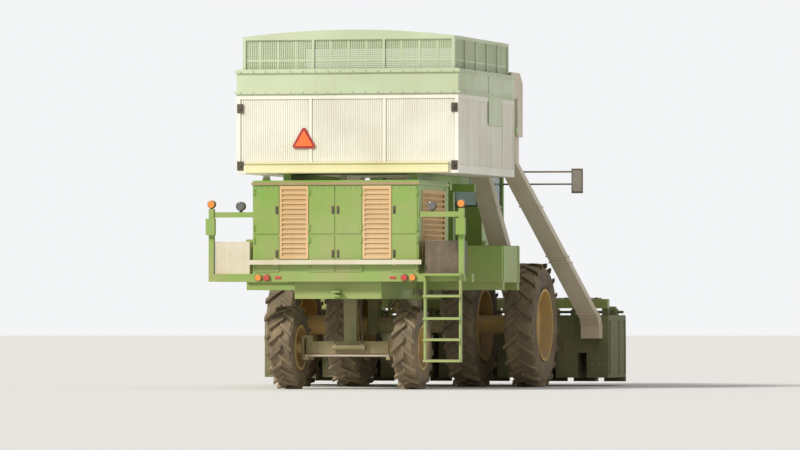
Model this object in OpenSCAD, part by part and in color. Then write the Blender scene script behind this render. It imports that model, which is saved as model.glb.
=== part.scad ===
// Basket-type cotton harvester: six row units on a lifted header, six air ducts to a
// basket that tips over the left side, a drive axle with dual wheels and a steered rear axle.
// Millimetres, +Z up, -Y forward, +X to the machine's left.
// Stations along the machine are written from the drive axle, + to the rear.

/* [Rows and header] */
// Distance between crop rows
row_pitch = 965; // [914:1:1016]
// Width of one row unit
unit_w = 860; // [800:5:880]
// Width of the channel that the plants pass through
channel_w = 150; // [120:5:180]
// Top of the row unit's cabinets above the ground
unit_top = 1130; // [1050:5:1140]
// Underside of the row units above the ground
unit_floor = 130; // [90:5:200]
// Thickness of the cabinets' doors and walls
unit_wall = 30; // [20:1:40]
// Rear face of the row units, from the drive axle
unit_rear = -1560; // [-1600:5:-1540]
// Front of the cabinets, from the drive axle
unit_front = -2860; // [-2960:10:-2800]
// Tip of the gathering shoes, from the drive axle
shoe_tip = -3400; // [-3500:10:-3300]
// Side of the square header beam
beam_side = 150; // [120:5:170]
// Length of the lift arms between pins
arm_len = 1075; // [1055:5:1085]
// Angle that the lift arms hang down at rest
arm_droop = 10.5; // [9:0.5:11]

/* [Wheels] */
// Drive tyre diameter
drive_d = 1950; // [1880:10:1960]
// Drive tyre width
drive_w = 500; // [440:10:520]
// Rim diameter of the drive wheels
drive_rim_d = 1090; // [1000:10:1140]
// Steered tyre diameter
steer_d = 1270; // [1200:10:1290]
// Steered tyre width
steer_w = 370; // [320:10:380]
// Rim diameter of the steered wheels
steer_rim_d = 650; // [600:10:700]
// Distance between the axles
wheelbase = 3900; // [3800:10:4000]
// Height of a tyre lug
lug_h = 42; // [30:1:50]
// Lugs on each side of a drive tyre
drive_lugs = 20; // [16:1:24]

/* [Frame] */
// Underside of the frame rails above the ground
rail_z = 1380; // [1350:5:1400]
// Height of the frame rails
rail_h = 260; // [220:5:280]
// Width of a frame rail
rail_w = 120; // [100:5:130]
// Centre of a frame rail from the middle
rail_x = 620; // [610:1:625]

/* [Cab] */
// Width of the cab
cab_w = 1700; // [1600:10:1760]
// Length of the cab
cab_len = 1560; // [1450:10:1600]
// Height of the cab without its roof
cab_h = 1560; // [1500:10:1650]
// Rear wall of the cab, from the drive axle
cab_rear = -1200; // [-1260:5:-1195]
// Underside of the cab floor frame above the ground
deck_z = 2080; // [2060:5:2120]

/* [Basket] */
// Width of the basket over its posts
basket_w = 3500; // [3400:10:3560]
// Front face of the basket, from the drive axle
basket_front = 370; // [360:5:420]
// Length of the basket
basket_len = 3780; // [3600:10:3900]
// Underside of the basket above the ground
basket_z = 3300; // [3290:5:3360]
// Height of the fixed lower part of the basket
lower_h = 1200; // [1150:10:1250]
// Height of the raised upper part above the lower one
upper_h = 900; // [850:10:950]
// Rise of the arched roof
roof_rise = 100; // [60:5:140]
// Depth that the upper part still stands in the lower one
upper_lap = 150; // [120:5:200]
// Width of a basket post
post_w = 60; // [50:5:70]

/* [Engine bay and rear] */
// Rear face of the engine cover, from the drive axle
cover_rear = 4850; // [4800:10:4900]
// Front face of the engine cover, from the drive axle
cover_front = 2950; // [2920:10:3050]
// Half width of the engine cover
cover_x = 1300; // [1250:10:1340]
// Thickness of the engine cover's panels
cover_wall = 30; // [20:1:40]
// Reach of the rear steps behind the cover
step_reach = 150; // [120:5:200]

/* [Hidden] */
$fn = 48;
// Station of the drive axle in the part's frame, so that the origin is under the middle of its length
axle_y = -(shoe_tip + cover_rear + step_reach) / 2;
green = [0.20, 0.42, 0.14];
dark_green = [0.13, 0.28, 0.10];
yellow = [0.93, 0.75, 0.12];
cream = [0.90, 0.88, 0.76];
black = [0.08, 0.08, 0.08];
steel = [0.55, 0.55, 0.52];
rubber = [0.10, 0.10, 0.10];
dust = [0.72, 0.58, 0.40];

run = 0.05;            // radial clearance of a pin in its bore
gap = 5;               // side clearance of moving pieces
seat = 0.5;            // clearance of pieces that slide or rest on each other
pin_r = 25;            // lift arm, hinge and cylinder pins
rows = [for (i = [0:5]) (i - 2.5) * row_pitch];
nose_y = unit_front - 230;
cabinet_h = unit_top - unit_floor - 2 * unit_wall;
drum_r = 125;
drum_front = 560;           // from the cabinets' front to the first drum, and on to the second
drum_step = 420;
drum_bars = 12;
doffer_rows = 7;
drive_r = drive_d / 2;
steer_r = steer_d / 2;
rail_top = rail_z + rail_h;
lower_top = basket_z + lower_h;
rail_in = rail_x - rail_w / 2;
rail_out = rail_x + rail_w / 2;

// Lift arms: rear pin on the rails' front ends, front pin on the header beam
arm_y = -1000;
arm_z = rail_z + rail_h / 2;
arm_t = 60;
eye_r = 65;
header_pin_y = arm_y - arm_len * cos(arm_droop);
header_pin_z = arm_z - arm_len * sin(arm_droop);
beam_y = header_pin_y - eye_r - gap - beam_side / 2 - 20;
beam_z = header_pin_z;
rail_front = arm_y + eye_r + gap;

// Ducts: foot at the row unit, elbow, knee and top, as [station, height]
duct_w = 300;
duct_d = 260;
duct_elbow = [unit_rear + 230, unit_top - 50];
duct_knee = [-250, lower_top - 960];
duct_top = lower_top - 350;
duct_bands = [0.03, 0.36, 0.40, 0.72];
duct_feet = [rows[3] - 152.5, rows[4] - 0.5, rows[5] + 187.5];
duct_tops = [330, 1000, basket_w / 2 - 250];
head_wall = 20;
head_play = 30;
head_w = duct_w + 2 * (head_play + head_wall);
head_d = duct_d + 2 * (head_play + head_wall);
head_z = lower_top - 550;
head_out = lower_top + 60;
head_top = lower_top + 460;
head_gap = 20;
mast_y = [duct_knee[0] + head_d / 2, duct_knee[0] + head_d / 2 + 120];
mast_z = lower_top - 500;

// Basket
basket_rear = basket_front + basket_len;
floor_t = 40;
upper_x = basket_w / 2 - post_w - 15;
upper_y = [basket_front + post_w + 15, basket_rear - post_w - 15];
upper_base = lower_top - upper_lap;
upper_top = lower_top + upper_h;
upper_post = 50;
roof_bays = [-0.86, -0.28, 0.3];
sheet = 8;
grid_bar = 30;
rail_band = 120;
rim_h = 400;
rim_t = 20;
door_base = basket_z + 500;
door_hinge = [basket_w / 2 + 25, door_base - 60];
door_span = [basket_front + 260, basket_rear - 260];
tilt_pin = [basket_w / 2 - 100, basket_z - 85];
cradle_beam = 120;
cradle_clear = 130;         // from the rear posts to the engine cover
cradle_y = [basket_front + 790, cover_front - cradle_clear - cradle_beam / 2];
cradle_top = basket_z - gap;

// Dump cylinders: foot pin on the frame, eye under the floor, as [x, z]
dump_y = [cradle_y[0] + 400, cradle_y[1] - 400];
dump_foot = [200, rail_top + 100];
dump_eye = [500, basket_z - 50];
dump_lean = atan2(dump_eye[0] - dump_foot[0], dump_eye[1] - dump_foot[1]);
dump_len = norm(dump_eye - dump_foot);
dump_tube = 1280;

// Lift cylinders beside the arms: foot pin, and the eye at lift_reach along the arm, as [station, height]
lift_x = rail_x - 85;
lift_foot = [arm_y + 650, rail_z - 330];
lift_pin = 22;
lift_reach = 600;
lift_eye = [arm_y - lift_reach * cos(arm_droop), arm_z - lift_reach * sin(arm_droop)];
lift_lean = atan2(lift_foot[0] - lift_eye[0], lift_eye[1] - lift_foot[1]);
lift_len = norm(lift_eye - lift_foot);
lift_tube = 1020;

// Steering
king_x = 650;
king_r = 30;
steer_y = wheelbase;
steer_arm = 240;

// Fan casing between the mast and the basket's cradle
fan_y = 600;
fan_z = rail_top + 760;
fan_r = 440;

// Cab
cab_z = deck_z + 100;
cab_front = cab_rear - cab_len;
cab_top = cab_z + cab_h;
cab_wall = 60;
door_y = [cab_rear - 1100, cab_rear - 400];
cab_hinge = [cab_w / 2 + 25, door_y[0] - 20];
plat_x = cab_w / 2 + 830;
plat_rear = cab_rear - 30;
mirror_reach = 1220;
guard_h = 1000;             // walkway rails: height, and stations of their posts
guard_mid = 640;
guard_end = 340;
bearer_mid = 750;
wheel_r = 190;              // steering wheel, and its centre in front of the seat and over the floor
wheel_at = [425, 700];

side_bearers = [1400, 2400];
tank_y = [1300, 2500];
bearer_x = basket_w / 2 + 300;
tank_tops = [rail_top + 660, rail_top + 560];
member_y = [lift_foot[0] - 150, basket_front - 30, cradle_y[0], dump_y[0], (cradle_y[0] + cradle_y[1]) / 2,
    dump_y[1], cradle_y[1], (cradle_y[1] + steer_y) / 2, steer_y, cover_rear - 210];
tow_y = cover_rear - 50;          // tow clevis behind the last cross member
tow_z = [rail_z + 30, rail_z + 95];
bay_z = rail_top + 120;
bay_top = basket_z - 120;
panel_t = 10;
step_drops = [1340, 1020, 700, 360, 35];
screen_x = [cover_x - 860, cover_x - 440];
screen_z = [bay_z + 240, bay_top - 100];
cover_mid = [15, screen_x[0] - 30];
cover_side = [screen_x[1] + 30, cover_x - 25];
cover_tiers = [[bay_z + 30, bay_z + 580], [bay_z + 610, bay_top - 90]];
engine_top = bay_top - 430;
muffler = [cover_front + 750, engine_top + 170];
wing_x = [basket_w / 2 + 170, basket_w / 2 + 250];
wing_top = bay_top - 430;
work_lamp_x = cover_x + 200;

// A box between two values on each axis
module block(x, y, z) {
    translate([x[0], y[0], z[0]]) cube([x[1] - x[0], y[1] - y[0], z[1] - z[0]]);
}

// The same shape on the left and on the right
module pair() {
    children();
    mirror([1, 0, 0]) children();
}

// A side profile of [station, height] points, between two widths
module side_plate(x, points) {
    translate([x[0], 0, 0]) rotate([90, 0, 90]) linear_extrude(x[1] - x[0]) polygon(points);
}

// A rear profile of [x, height] points, between two stations
module rear_plate(y, points) {
    translate([0, y[1], 0]) rotate([90, 0, 0]) linear_extrude(y[1] - y[0]) polygon(points);
}

// A round bar along X, at a station and a height
module cross_bar(x, y, z, r) {
    translate([x[0], y, z]) rotate([0, 90, 0]) cylinder(r = r, h = x[1] - x[0]);
}

// A round bar between two points
module rod(a, b, r) {
    d = b - a;
    translate(a) rotate([0, acos(d[2] / norm(d)), atan2(d[1], d[0])]) cylinder(r = r, h = norm(d));
}

// Moves what is drawn from the drive axle into the part's frame
module from_axle() {
    translate([0, axle_y, 0]) children();
}

// Two rails with the lift arms' ears in front, and the cab's posts and bearers
module main_frame() color(green) from_axle() pair() {
    block([rail_in, rail_out], [rail_front, cover_rear - 150], [rail_z, rail_top]);
    for (x = [[rail_in, rail_x - arm_t / 2 - gap], [rail_x + arm_t / 2 + gap, rail_out]]) {
        block(x, [arm_y, rail_front], [arm_z - eye_r, arm_z + eye_r]);
        cross_bar(x, arm_y, arm_z, eye_r);
    }
    cross_bar([rail_in, rail_out], arm_y, arm_z, pin_r);
    block([rail_in, rail_out], [rail_front, rail_front + 120], [rail_top, deck_z]);
    block([rail_in, rail_out], [cab_front + 60, rail_front + 120], [deck_z, cab_z]);
    side_plate([rail_in, rail_out], [[rail_front + 110, deck_z - 240], [rail_front + 10, deck_z + 10],
        [rail_front - 280, deck_z + 10], [rail_front, deck_z - 240]]);
}

// Cross members between the rails, with the brackets of the cylinders and the tow clevis on them
module cross_members() color(green) from_axle() difference() {
    union() {
        for (y = member_y)
            block([-rail_in, rail_in], [y - 60, y + 60], [rail_z, rail_top]);
        for (y = dump_y) {
            for (side = [-1, 1]) dump_ear(y + side * 48);
            translate([dump_foot[0], y + 60, dump_foot[1]]) rotate([90, 0, 0]) cylinder(r = pin_r, h = 120);
        }
        for (z = tow_z)
            block([-60, 60], [member_y[len(member_y) - 1], tow_y + 60], [z, z + 25]);
        pair() {
            side_plate([lift_x - 66, lift_x - 46],
                [[member_y[0] - 60, rail_z + 20], [member_y[0] + 60, rail_z + 20],
                [lift_foot[0] + 60, lift_foot[1]], [lift_foot[0] + 30, lift_foot[1] - 50],
                [lift_foot[0] - 30, lift_foot[1] - 50]]);
            cross_bar([lift_x - 50, lift_x + 32], lift_foot[0], lift_foot[1], lift_pin);
        }
    }
    translate([0, tow_y, tow_z[0] - 10]) cylinder(r = 16, h = 120);
}

// Bearers outside the rails: under the side tanks, and across the rails under the engine bay
module outriggers() color(green) from_axle() {
    pair() for (y = side_bearers)
        block([rail_out, bearer_x], [y - 60, y + 60], [rail_z + 140, rail_top]);
    block([-cover_x, cover_x], [cover_front, cover_front + 120], [rail_top, bay_z]);
    for (y = [cover_rear - 670, cover_rear - 120])
        block([-wing_x[1], wing_x[1]], [y, y + 120], [rail_top, bay_z]);
}

// Lamp posts at the back corners, braced to the engine cover, with a box on each
module wing_posts() color(green) from_axle() pair() {
    block(wing_x, [cover_rear - 80, cover_rear], [bay_z, wing_top]);
    block([cover_x, wing_x[0] + 10], [cover_rear - 80, cover_rear - 20],
        [wing_top - 130, wing_top - 50]);
    block(wing_x + [-30, 30], [cover_rear - 20, cover_rear + 60], [wing_top - 400, wing_top - 150]);
}

// One ear of a dump cylinder's foot bracket
module dump_ear(y) {
    block([dump_foot[0] - 60, dump_foot[0] + 60], [y - 12, y + 12], [rail_top, dump_foot[1]]);
    translate([dump_foot[0], y + 12, dump_foot[1]]) rotate([90, 0, 0]) cylinder(r = 60, h = 24);
}

// Drive axle: beam, gear case, final drives under the rails and the wheel spindles
module drive_axle() color(dark_green) from_axle() {
    cross_bar([-rail_in + 20, rail_in - 20], 0, drive_r, 125);
    cross_bar([-190, 190], 0, drive_r, 210);
    pair() {
        block([rail_in - 20, rail_out + 10], [-150, 150], [drive_r - 160, rail_z]);
        cross_bar([rail_out + 10, 900], 0, drive_r, 70);
    }
}

// Steered axle: beam on its hanger, with a kingpin boss at each end
module rear_axle() color(dark_green) from_axle() {
    difference() {
        union() {
            block([-king_x + 40, king_x - 40], [steer_y - 75, steer_y + 75], [steer_r - 95, steer_r + 95]);
            block([-100, 100], [steer_y - 60, steer_y + 60], [steer_r + 95, rail_z]);
            pair() translate([king_x, steer_y, steer_r - 140]) cylinder(r = 70, h = 280);
            cross_bar([-260, 260], steer_y + 130, steer_r, 38);
            for (x = [-240, 200])
                block([x, x + 40], [steer_y + 70, steer_y + 140], [steer_r - 50, steer_r + 50]);
        }
        pair() translate([king_x, steer_y, steer_r - 150]) cylinder(r = king_r + run, h = 300);
    }
}

// Left steering knuckle: yoke, kingpin, wheel spindle and steering arm
module knuckle() from_axle() translate([king_x, steer_y, steer_r]) {
    cylinder(r = king_r, h = 370, center = true);
    for (z = [-185, 145]) block([-50, 115], [-60, 60], [z, z + 40]);
    block([78, 115], [-60, 60], [-185, 185]);
    cross_bar([115, 360], 0, 0, 45);
    block([-30, 30], [60, steer_arm + 30], [-185, -145]);
}

module knuckle_left() color(dark_green) knuckle();
module knuckle_right() color(dark_green) mirror([1, 0, 0]) knuckle();

// Track rod above the ends of the steering arms
module tie_rod() color(steel) from_axle() {
    z = steer_r - 145 + seat + 20;
    cross_bar([-king_x, king_x], steer_y + steer_arm, z, 18);
    pair() translate([king_x, steer_y + steer_arm, z - 20]) cylinder(r = 32, h = 40);
}

// Tyre carcass open at its beads, on an axis along X
module carcass(d, w, rim_d, t) {
    r0 = rim_d / 2;
    r1 = d / 2 - lug_h;
    h = r1 - r0;
    rotate([0, 90, 0]) rotate_extrude() polygon([
        [r0, -0.36 * w], [r0 + 0.22 * h, -0.47 * w], [r0 + 0.55 * h, -0.5 * w], [r1 - 0.16 * h, -0.46 * w],
        [r1 - 0.03 * h, -0.36 * w], [r1, 0], [r1 - 0.03 * h, 0.36 * w], [r1 - 0.16 * h, 0.46 * w],
        [r0 + 0.55 * h, 0.5 * w], [r0 + 0.22 * h, 0.47 * w], [r0, 0.36 * w], [r0, 0.36 * w - t],
        [r0 + 0.25 * h, 0.47 * w - t], [r0 + 0.55 * h, 0.5 * w - t], [r1 - t, 0.34 * w],
        [r1 - t, -0.34 * w], [r0 + 0.55 * h, -0.5 * w + t], [r0 + 0.25 * h, -0.47 * w + t],
            [r0, -0.36 * w + t]
    ]);
}

// Slanted tractor lugs, count on each side, cut to the tyre's outer diameter
module lugs(d, w, count) {
    base = d / 2 - lug_h - 50;
    intersection() {
        rotate([0, 90, 0]) cylinder(r = d / 2, h = 1.1 * w, center = true, $fn = 96);
        union() for (i = [0:count - 1], side = [0, 1])
            rotate([(i + side / 2) * 360 / count, 0, 0]) mirror([side, 0, 0]) translate([0, 0, base])
                linear_extrude(lug_h + 60) polygon([[-20, -35], [0.48 * w, 0.36 * w],
                    [0.48 * w, 0.36 * w + 62], [-20, 20]]);
    }
}

module tyre(d, w, rim_d, count) {
    carcass(d, w, rim_d, 45);
    lugs(d, w, count);
}

module drive_tyres() from_axle()
    for (x = [row_pitch, 2 * row_pitch])
        translate([x, 0, drive_r]) tyre(drive_d, drive_w, drive_rim_d, drive_lugs);

module drive_tyres_left() color(rubber) drive_tyres();
module drive_tyres_right() color(rubber) mirror([1, 0, 0]) drive_tyres();

// Rim band with its flanges and dished disc, as a profile of radius and width
module rim_profile(rim_d, w, hub_r, disc_x) {
    r = rim_d / 2 - 0.3;
    translate([r - 14, -0.45 * w]) square([14, 0.9 * w]);
    for (side = [-1, 1]) translate([r - 14, side * 0.45 * w - 8]) square([40, 16]);
    translate([hub_r - 5, disc_x - 10]) square([r - hub_r - 5, 20]);
}

// Both rims of a drive wheel on one hub, bored for the spindle
module drive_rims() from_axle() translate([0, 0, drive_r]) rotate([0, 90, 0]) difference() {
    rotate_extrude() {
        translate([0, rail_out + 20]) square([150, 2 * row_pitch - rail_out + 60]);
        for (x = [row_pitch, 2 * row_pitch]) translate([0, x]) rim_profile(drive_rim_d, drive_w, 150, 40);
    }
    translate([0, 0, rail_out]) cylinder(r = 70 + run, h = 905 - rail_out);
}

module drive_rims_left() color(yellow) drive_rims();
module drive_rims_right() color(yellow) mirror([1, 0, 0]) drive_rims();

module steer_tyre() from_axle() translate([row_pitch, steer_y, steer_r])
    tyre(steer_d, steer_w, steer_rim_d, 16);
module steer_tyre_left() color(rubber) steer_tyre();
module steer_tyre_right() color(rubber) mirror([1, 0, 0]) steer_tyre();

module steer_rim() from_axle() translate([0, steer_y, steer_r]) rotate([0, 90, 0]) difference() {
    rotate_extrude() {
        translate([0, king_x + 120]) square([90, 290]);
        translate([0, row_pitch]) rim_profile(steer_rim_d, steer_w, 90, 20);
    }
    translate([0, 0, king_x]) cylinder(r = 45 + run, h = 365);
}
module steer_rim_left() color(yellow) steer_rim();
module steer_rim_right() color(yellow) mirror([1, 0, 0]) steer_rim();

// Engine as a plain block on the cross members, with its muffler on two saddles
module engine() color(steel) from_axle() {
    block([-380, 380], [cover_front + 150, cover_rear - 680], [rail_top, engine_top]);
    for (x = [-180, 180])
        block([x - 30, x + 30], [muffler[0] - 60, muffler[0] + 60], [engine_top - 10, muffler[1] - 20]);
    cross_bar([-320, 320], muffler[0], muffler[1], 110);
}

// Engine cover: walls and roof, with the openings of the rear screens and the side grilles
module engine_cover() color(green) from_axle() difference() {
    union() {
        block([-cover_x, cover_x], [cover_front, cover_rear], [bay_z, bay_top]);
        block([-cover_x - 20, cover_x + 20], [cover_front, cover_rear + 20], [bay_top - 70, bay_top - 30]);
        pair() for (z = cover_tiers) {
            for (x = [cover_mid, cover_side]) block(x, [cover_rear - 5, cover_rear + panel_t], z);
            block([cover_x - 5, cover_x + panel_t], [cover_front + 30, cover_front + 225], z);
        }
    }
    block([cover_wall - cover_x, cover_x - cover_wall], [cover_front + cover_wall, cover_rear - cover_wall],
        [bay_z - 10, bay_top - cover_wall]);
    pair() {
        block(screen_x, [cover_rear - 100, cover_rear + 10], screen_z);
        block([cover_x - 100, cover_x + 10], [cover_front + 250, cover_rear - 250],
            [screen_z[0], screen_z[1] - 60]);
    }
}

// A grille plate with level slots, between two stations on X and Z, cut through along Y
module slotted(x, y, z, border, count) {
    pitch = (z[1] - z[0] - 2 * border) / count;
    difference() {
        block(x, y, z);
        for (i = [0:count - 1]) {
            slot = z[0] + border + pitch * (i + 0.2);
            block([x[0] + border, x[1] - border], [y[0] - 10, y[1] + 10], [slot, slot + 0.6 * pitch]);
        }
    }
}

// Rear and side screens, laid on the cover's openings
module rear_screens() color(dust) from_axle() pair() {
    slotted([screen_x[0] - 15, screen_x[1] + 15], [cover_rear, cover_rear + 12], screen_z + [-15, 15], 35,
        14);
    translate([cover_x, 0, 0]) rotate([0, 0, 90])
        slotted([cover_front + 235, cover_rear - 235], [-12, 0], [screen_z[0] - 15, screen_z[1] - 45], 40,
            12);
}

// Fuel tank on the left and oil tank on the right, on their bearers, each with its filler neck and straps
module side_tanks() color(green) from_axle() {
    block([cover_x, bearer_x], tank_y, [rail_top, tank_tops[0]]);
    block([-bearer_x, -cover_x], tank_y, [rail_top, tank_tops[1]]);
    for (tank = [[cover_x + 200, tank_tops[0]], [-cover_x - 200, tank_tops[1]]]) {
        translate([tank[0], tank_y[0] + 200, tank[1]]) cylinder(r = 50, h = 60);
        translate([tank[0], tank_y[0] + 200, tank[1] + 60]) cylinder(r = 65, h = 30);
    }
    for (y = side_bearers) {
        block([cover_x - 10, bearer_x + 10], [y - 25, y + 25], [rail_top, tank_tops[0] + 10]);
        block([-bearer_x - 10, 10 - cover_x], [y - 25, y + 25], [rail_top, tank_tops[1] + 10]);
    }
}

// Right rear box over the service steps
module rear_box() color(black) from_axle()
    block([-wing_x[0] + 10, -cover_x - 100], [cover_rear - 600, cover_rear], [bay_z, bay_z + 500]);

// Left rear water tank in its tray
module wash_tank() color(cream) from_axle()
    block([cover_x + 60, wing_x[0] - 20], [cover_rear - 640, cover_rear - 30], [bay_z, bay_z + 490]);

// Service steps behind the right outrigger
module service_ladder() color(green) from_axle() {
    x = [20 - wing_x[1], -cover_x - 100];
    for (e = [x[0], x[1] - 30])
        block([e, e + 30], [cover_rear, cover_rear + 90], [bay_z - step_drops[0], bay_z]);
    for (drop = step_drops)
        block(x, [cover_rear, cover_rear + step_reach], [bay_z - drop, bay_z - drop + 35]);
}

// Pale bar across the back, on two brackets
module rear_bar() color(cream) from_axle() {
    z = [bay_z + 140, bay_z + 210];
    block([-cover_x - 60, cover_x + 60], [cover_rear + 45, cover_rear + 85], z);
    pair() block([cover_x - 400, cover_x - 340], [cover_rear + panel_t, cover_rear + 50], z + [-10, 10]);
}

// Amber lamps on top of the wing posts, and work lamps on their braces
module tail_lamps() color(yellow) from_axle() pair() {
    block([work_lamp_x - 20, work_lamp_x + 20], [cover_rear - 70, cover_rear - 30],
        [wing_top - 50, wing_top + 10]);
    translate([work_lamp_x, cover_rear, wing_top + 40]) rotate([90, 0, 0]) cylinder(r = 70, h = 90);
    translate([wing_x[0] + 40, cover_rear, wing_top + 70]) rotate([90, 0, 0]) cylinder(r = 60, h = 80);
    block(wing_x + [20, -20], [cover_rear - 70, cover_rear - 10], [wing_top, wing_top + 40]);
}

// Posts, cross beams and resting beams under the basket, with the ears of the tilt hinge
module basket_cradle() color(green) from_axle() {
    post = cradle_beam / 2;
    beam_top = basket_z - cradle_beam;
    for (y = cradle_y) {
        pair() block([rail_in, rail_out], [y - post, y + post], [rail_top, beam_top - cradle_beam]);
        block([450 - basket_w / 2, tilt_pin[0] - 70], [y - post, y + post],
            [beam_top - cradle_beam, beam_top]);
        for (side = [-1, 1]) {
            block([tilt_pin[0] - 90, tilt_pin[0] + 55], [y + side * 47 - 13, y + side * 47 + 13],
                [beam_top - cradle_beam, tilt_pin[1]]);
            translate([tilt_pin[0], y + side * 47 + 13, tilt_pin[1]]) rotate([90, 0, 0])
                cylinder(r = 55, h = 26);
        }
        translate([tilt_pin[0], y + post, tilt_pin[1]]) rotate([90, 0, 0]) cylinder(r = pin_r, h = 2 * post);
    }
    pair() block([basket_w / 2 - 810, basket_w / 2 - 690], [basket_front + 200, basket_rear - 200],
        [beam_top + seat, cradle_top]);
}

// Mast in front of the basket: two posts on the rails and the beam that carries the duct heads
module duct_mast() color(green) from_axle() {
    pair() block([rail_in, rail_out], mast_y, [rail_top, mast_z]);
    block([-duct_tops[2] - head_w / 2, duct_tops[2] + head_w / 2], mast_y, [mast_z, mast_z + 100]);
}

// Upper duct heads, each a sleeve open below and towards the basket
module duct_heads() color(cream) from_axle() for (x = duct_tops) pair() duct_head(x);

module duct_head(x) {
    front = duct_knee[0] - head_d / 2;
    back = basket_front - head_gap;
    half = head_w / 2;
    difference() {
        union() {
            block([x - half, x + half], [front, duct_knee[0] + head_d / 2], [head_z, head_out]);
            side_plate([x - half, x + half], [[front, head_out], [back, head_out], [back, head_top],
                [front + 200, head_top], [front, head_top - 160]]);
        }
        inner = half - head_wall;
        block([x - inner, x + inner], [front + head_wall, duct_knee[0] + head_d / 2 - head_wall],
            [head_z - 10, head_out + head_wall + 10]);
        side_plate([x - inner, x + inner],
            [[front + head_wall, head_out + head_wall], [back + 10, head_out + head_wall],
            [back + 10, head_top - head_wall], [front + 210, head_top - head_wall],
            [front + head_wall, head_top - 170]]);
    }
}

// Fan housing on the rails: round casing over its foot, inlets with bars, and the two outlets forward
module fan_housing() color(green) from_axle() {
    block([-600, 600], [fan_y - 400, fan_y + 400], [rail_top, fan_z]);
    cross_bar([-600, 600], fan_y, fan_z, fan_r);
    pair() {
        block([120, 520], [fan_y - fan_r - 30, fan_y], [fan_z - 360, fan_z - 40]);
        difference() {
            cross_bar([600, 650], fan_y, fan_z, 0.75 * fan_r);
            cross_bar([610, 660], fan_y, fan_z, 0.68 * fan_r);
        }
        for (i = [-3:3]) {
            reach = sqrt(pow(0.71 * fan_r, 2) - pow(80 * i, 2));
            block([612, 640], [fan_y + i * 80 - 12, fan_y + i * 80 + 12], [fan_z - reach, fan_z + reach]);
        }
        for (x = [220, 420])
            block([x - 15, x + 15], [fan_y - fan_r - 20, fan_y + fan_r + 20], [fan_z - 20, fan_z + 20]);
    }
}

// Cab shell: floor, pillars and lower walls, with the openings of the windows and the door
module cab_shell() color(green) from_axle() {
    cab_walls();
    door_pins();
}

module cab_walls() difference() {
    half = cab_w / 2;
    rear = cab_rear - cab_wall;
    front = cab_front + cab_wall;
    block([-half, half], [cab_front, cab_rear], [cab_z, cab_top]);
    block([cab_wall - half, half - cab_wall], [front, rear], [cab_z + 60, cab_top + 10]);
    block([cab_wall + 20 - half, half - cab_wall - 20], [cab_front - 10, front + 10],
        [cab_z + 240, cab_top - 60]);
    block([cab_wall + 20 - half, half - cab_wall - 20], [rear - 10, cab_rear + 10],
        [cab_z + 700, cab_top - 60]);
    block([half - 100, half + 10], [door_y[0] + 20, door_y[1]], [cab_z + 60, cab_top - 60]);
    block([half - 100, half + 10], [front + 20, door_y[0] - 60], [cab_z + 500, cab_top - 60]);
    block([-half - 10, 100 - half], [front + 20, rear - 20], [cab_z + 500, cab_top - 60]);
}

module cab_roof() color(green) from_axle() {
    side_plate([-cab_w / 2 - 40, cab_w / 2 + 40], [[cab_front - 180, cab_top], [cab_rear + 40, cab_top],
        [cab_rear + 40, cab_top + 90], [cab_rear - 100, cab_top + 160], [cab_front, cab_top + 160],
        [cab_front - 180, cab_top + 70]]);
    block([-420, 420], [cab_rear - 820, cab_rear - 160], [cab_top + 150, cab_top + 230]);
    pair() for (x = [480, 720])
        translate([x, cab_front - 160, cab_top + 38]) rotate([90, 0, 0]) cylinder(r = 32, h = 60);
}

// Panes set in the middle of the cab's walls
module cab_glass() color([0.5, 0.6, 0.62, 0.4]) from_axle() {
    half = cab_w / 2;
    mid = cab_wall / 2;
    rear = cab_rear - cab_wall;
    front = cab_front + cab_wall;
    block([cab_wall + 20 - half, half - cab_wall - 20], [cab_front + mid - 3, cab_front + mid + 3],
        [cab_z + 240, cab_top - 60]);
    block([cab_wall + 20 - half, half - cab_wall - 20], [cab_rear - mid - 3, cab_rear - mid + 3],
        [cab_z + 700, cab_top - 60]);
    block([half - mid - 3, half - mid + 3], [front + 20, door_y[0] - 60], [cab_z + 500, cab_top - 60]);
    block([mid - 3 - half, mid + 3 - half], [front + 20, rear - 20], [cab_z + 500, cab_top - 60]);
}

// Cab door on its two hinge eyes, outside the left wall
module cab_door() color(green) from_axle() {
    half = cab_w / 2;
    difference() {
        block([half + 10, half + 40], [door_y[0], door_y[1] + 30], [cab_z + 40, cab_top - 40]);
        block([half, half + 50], [door_y[0] + 70, door_y[1] - 50], [cab_z + 420, cab_top - 110]);
    }
    for (z = [cab_z + 300, cab_top - 300]) difference() {
        union() {
            translate([cab_hinge[0], cab_hinge[1], z - 40]) cylinder(r = 20, h = 80);
            block([cab_hinge[0] - 10, cab_hinge[0] + 10], [cab_hinge[1], door_y[0] + 5], [z - 40, z + 40]);
        }
        translate([cab_hinge[0], cab_hinge[1], z - 50]) cylinder(r = 10 + run, h = 100);
    }
}

module door_glass() color([0.5, 0.6, 0.62, 0.4]) from_axle()
    block([cab_w / 2 + 22, cab_w / 2 + 28], [door_y[0] + 70, door_y[1] - 50], [cab_z + 420, cab_top - 110]);

// Hinge pins of the cab door in their ears on the door pillar
module door_pins()
    for (z = [cab_z + 300, cab_top - 300]) {
        translate([cab_hinge[0], cab_hinge[1], z - 60]) cylinder(r = 10, h = 120);
        for (side = [-1, 1])
            block([cab_w / 2 - 5, cab_hinge[0] + 8], [cab_hinge[1] - 18, cab_hinge[1] + 8],
                [z + side * 53 - 8, z + side * 53 + 8]);
    }

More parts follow.
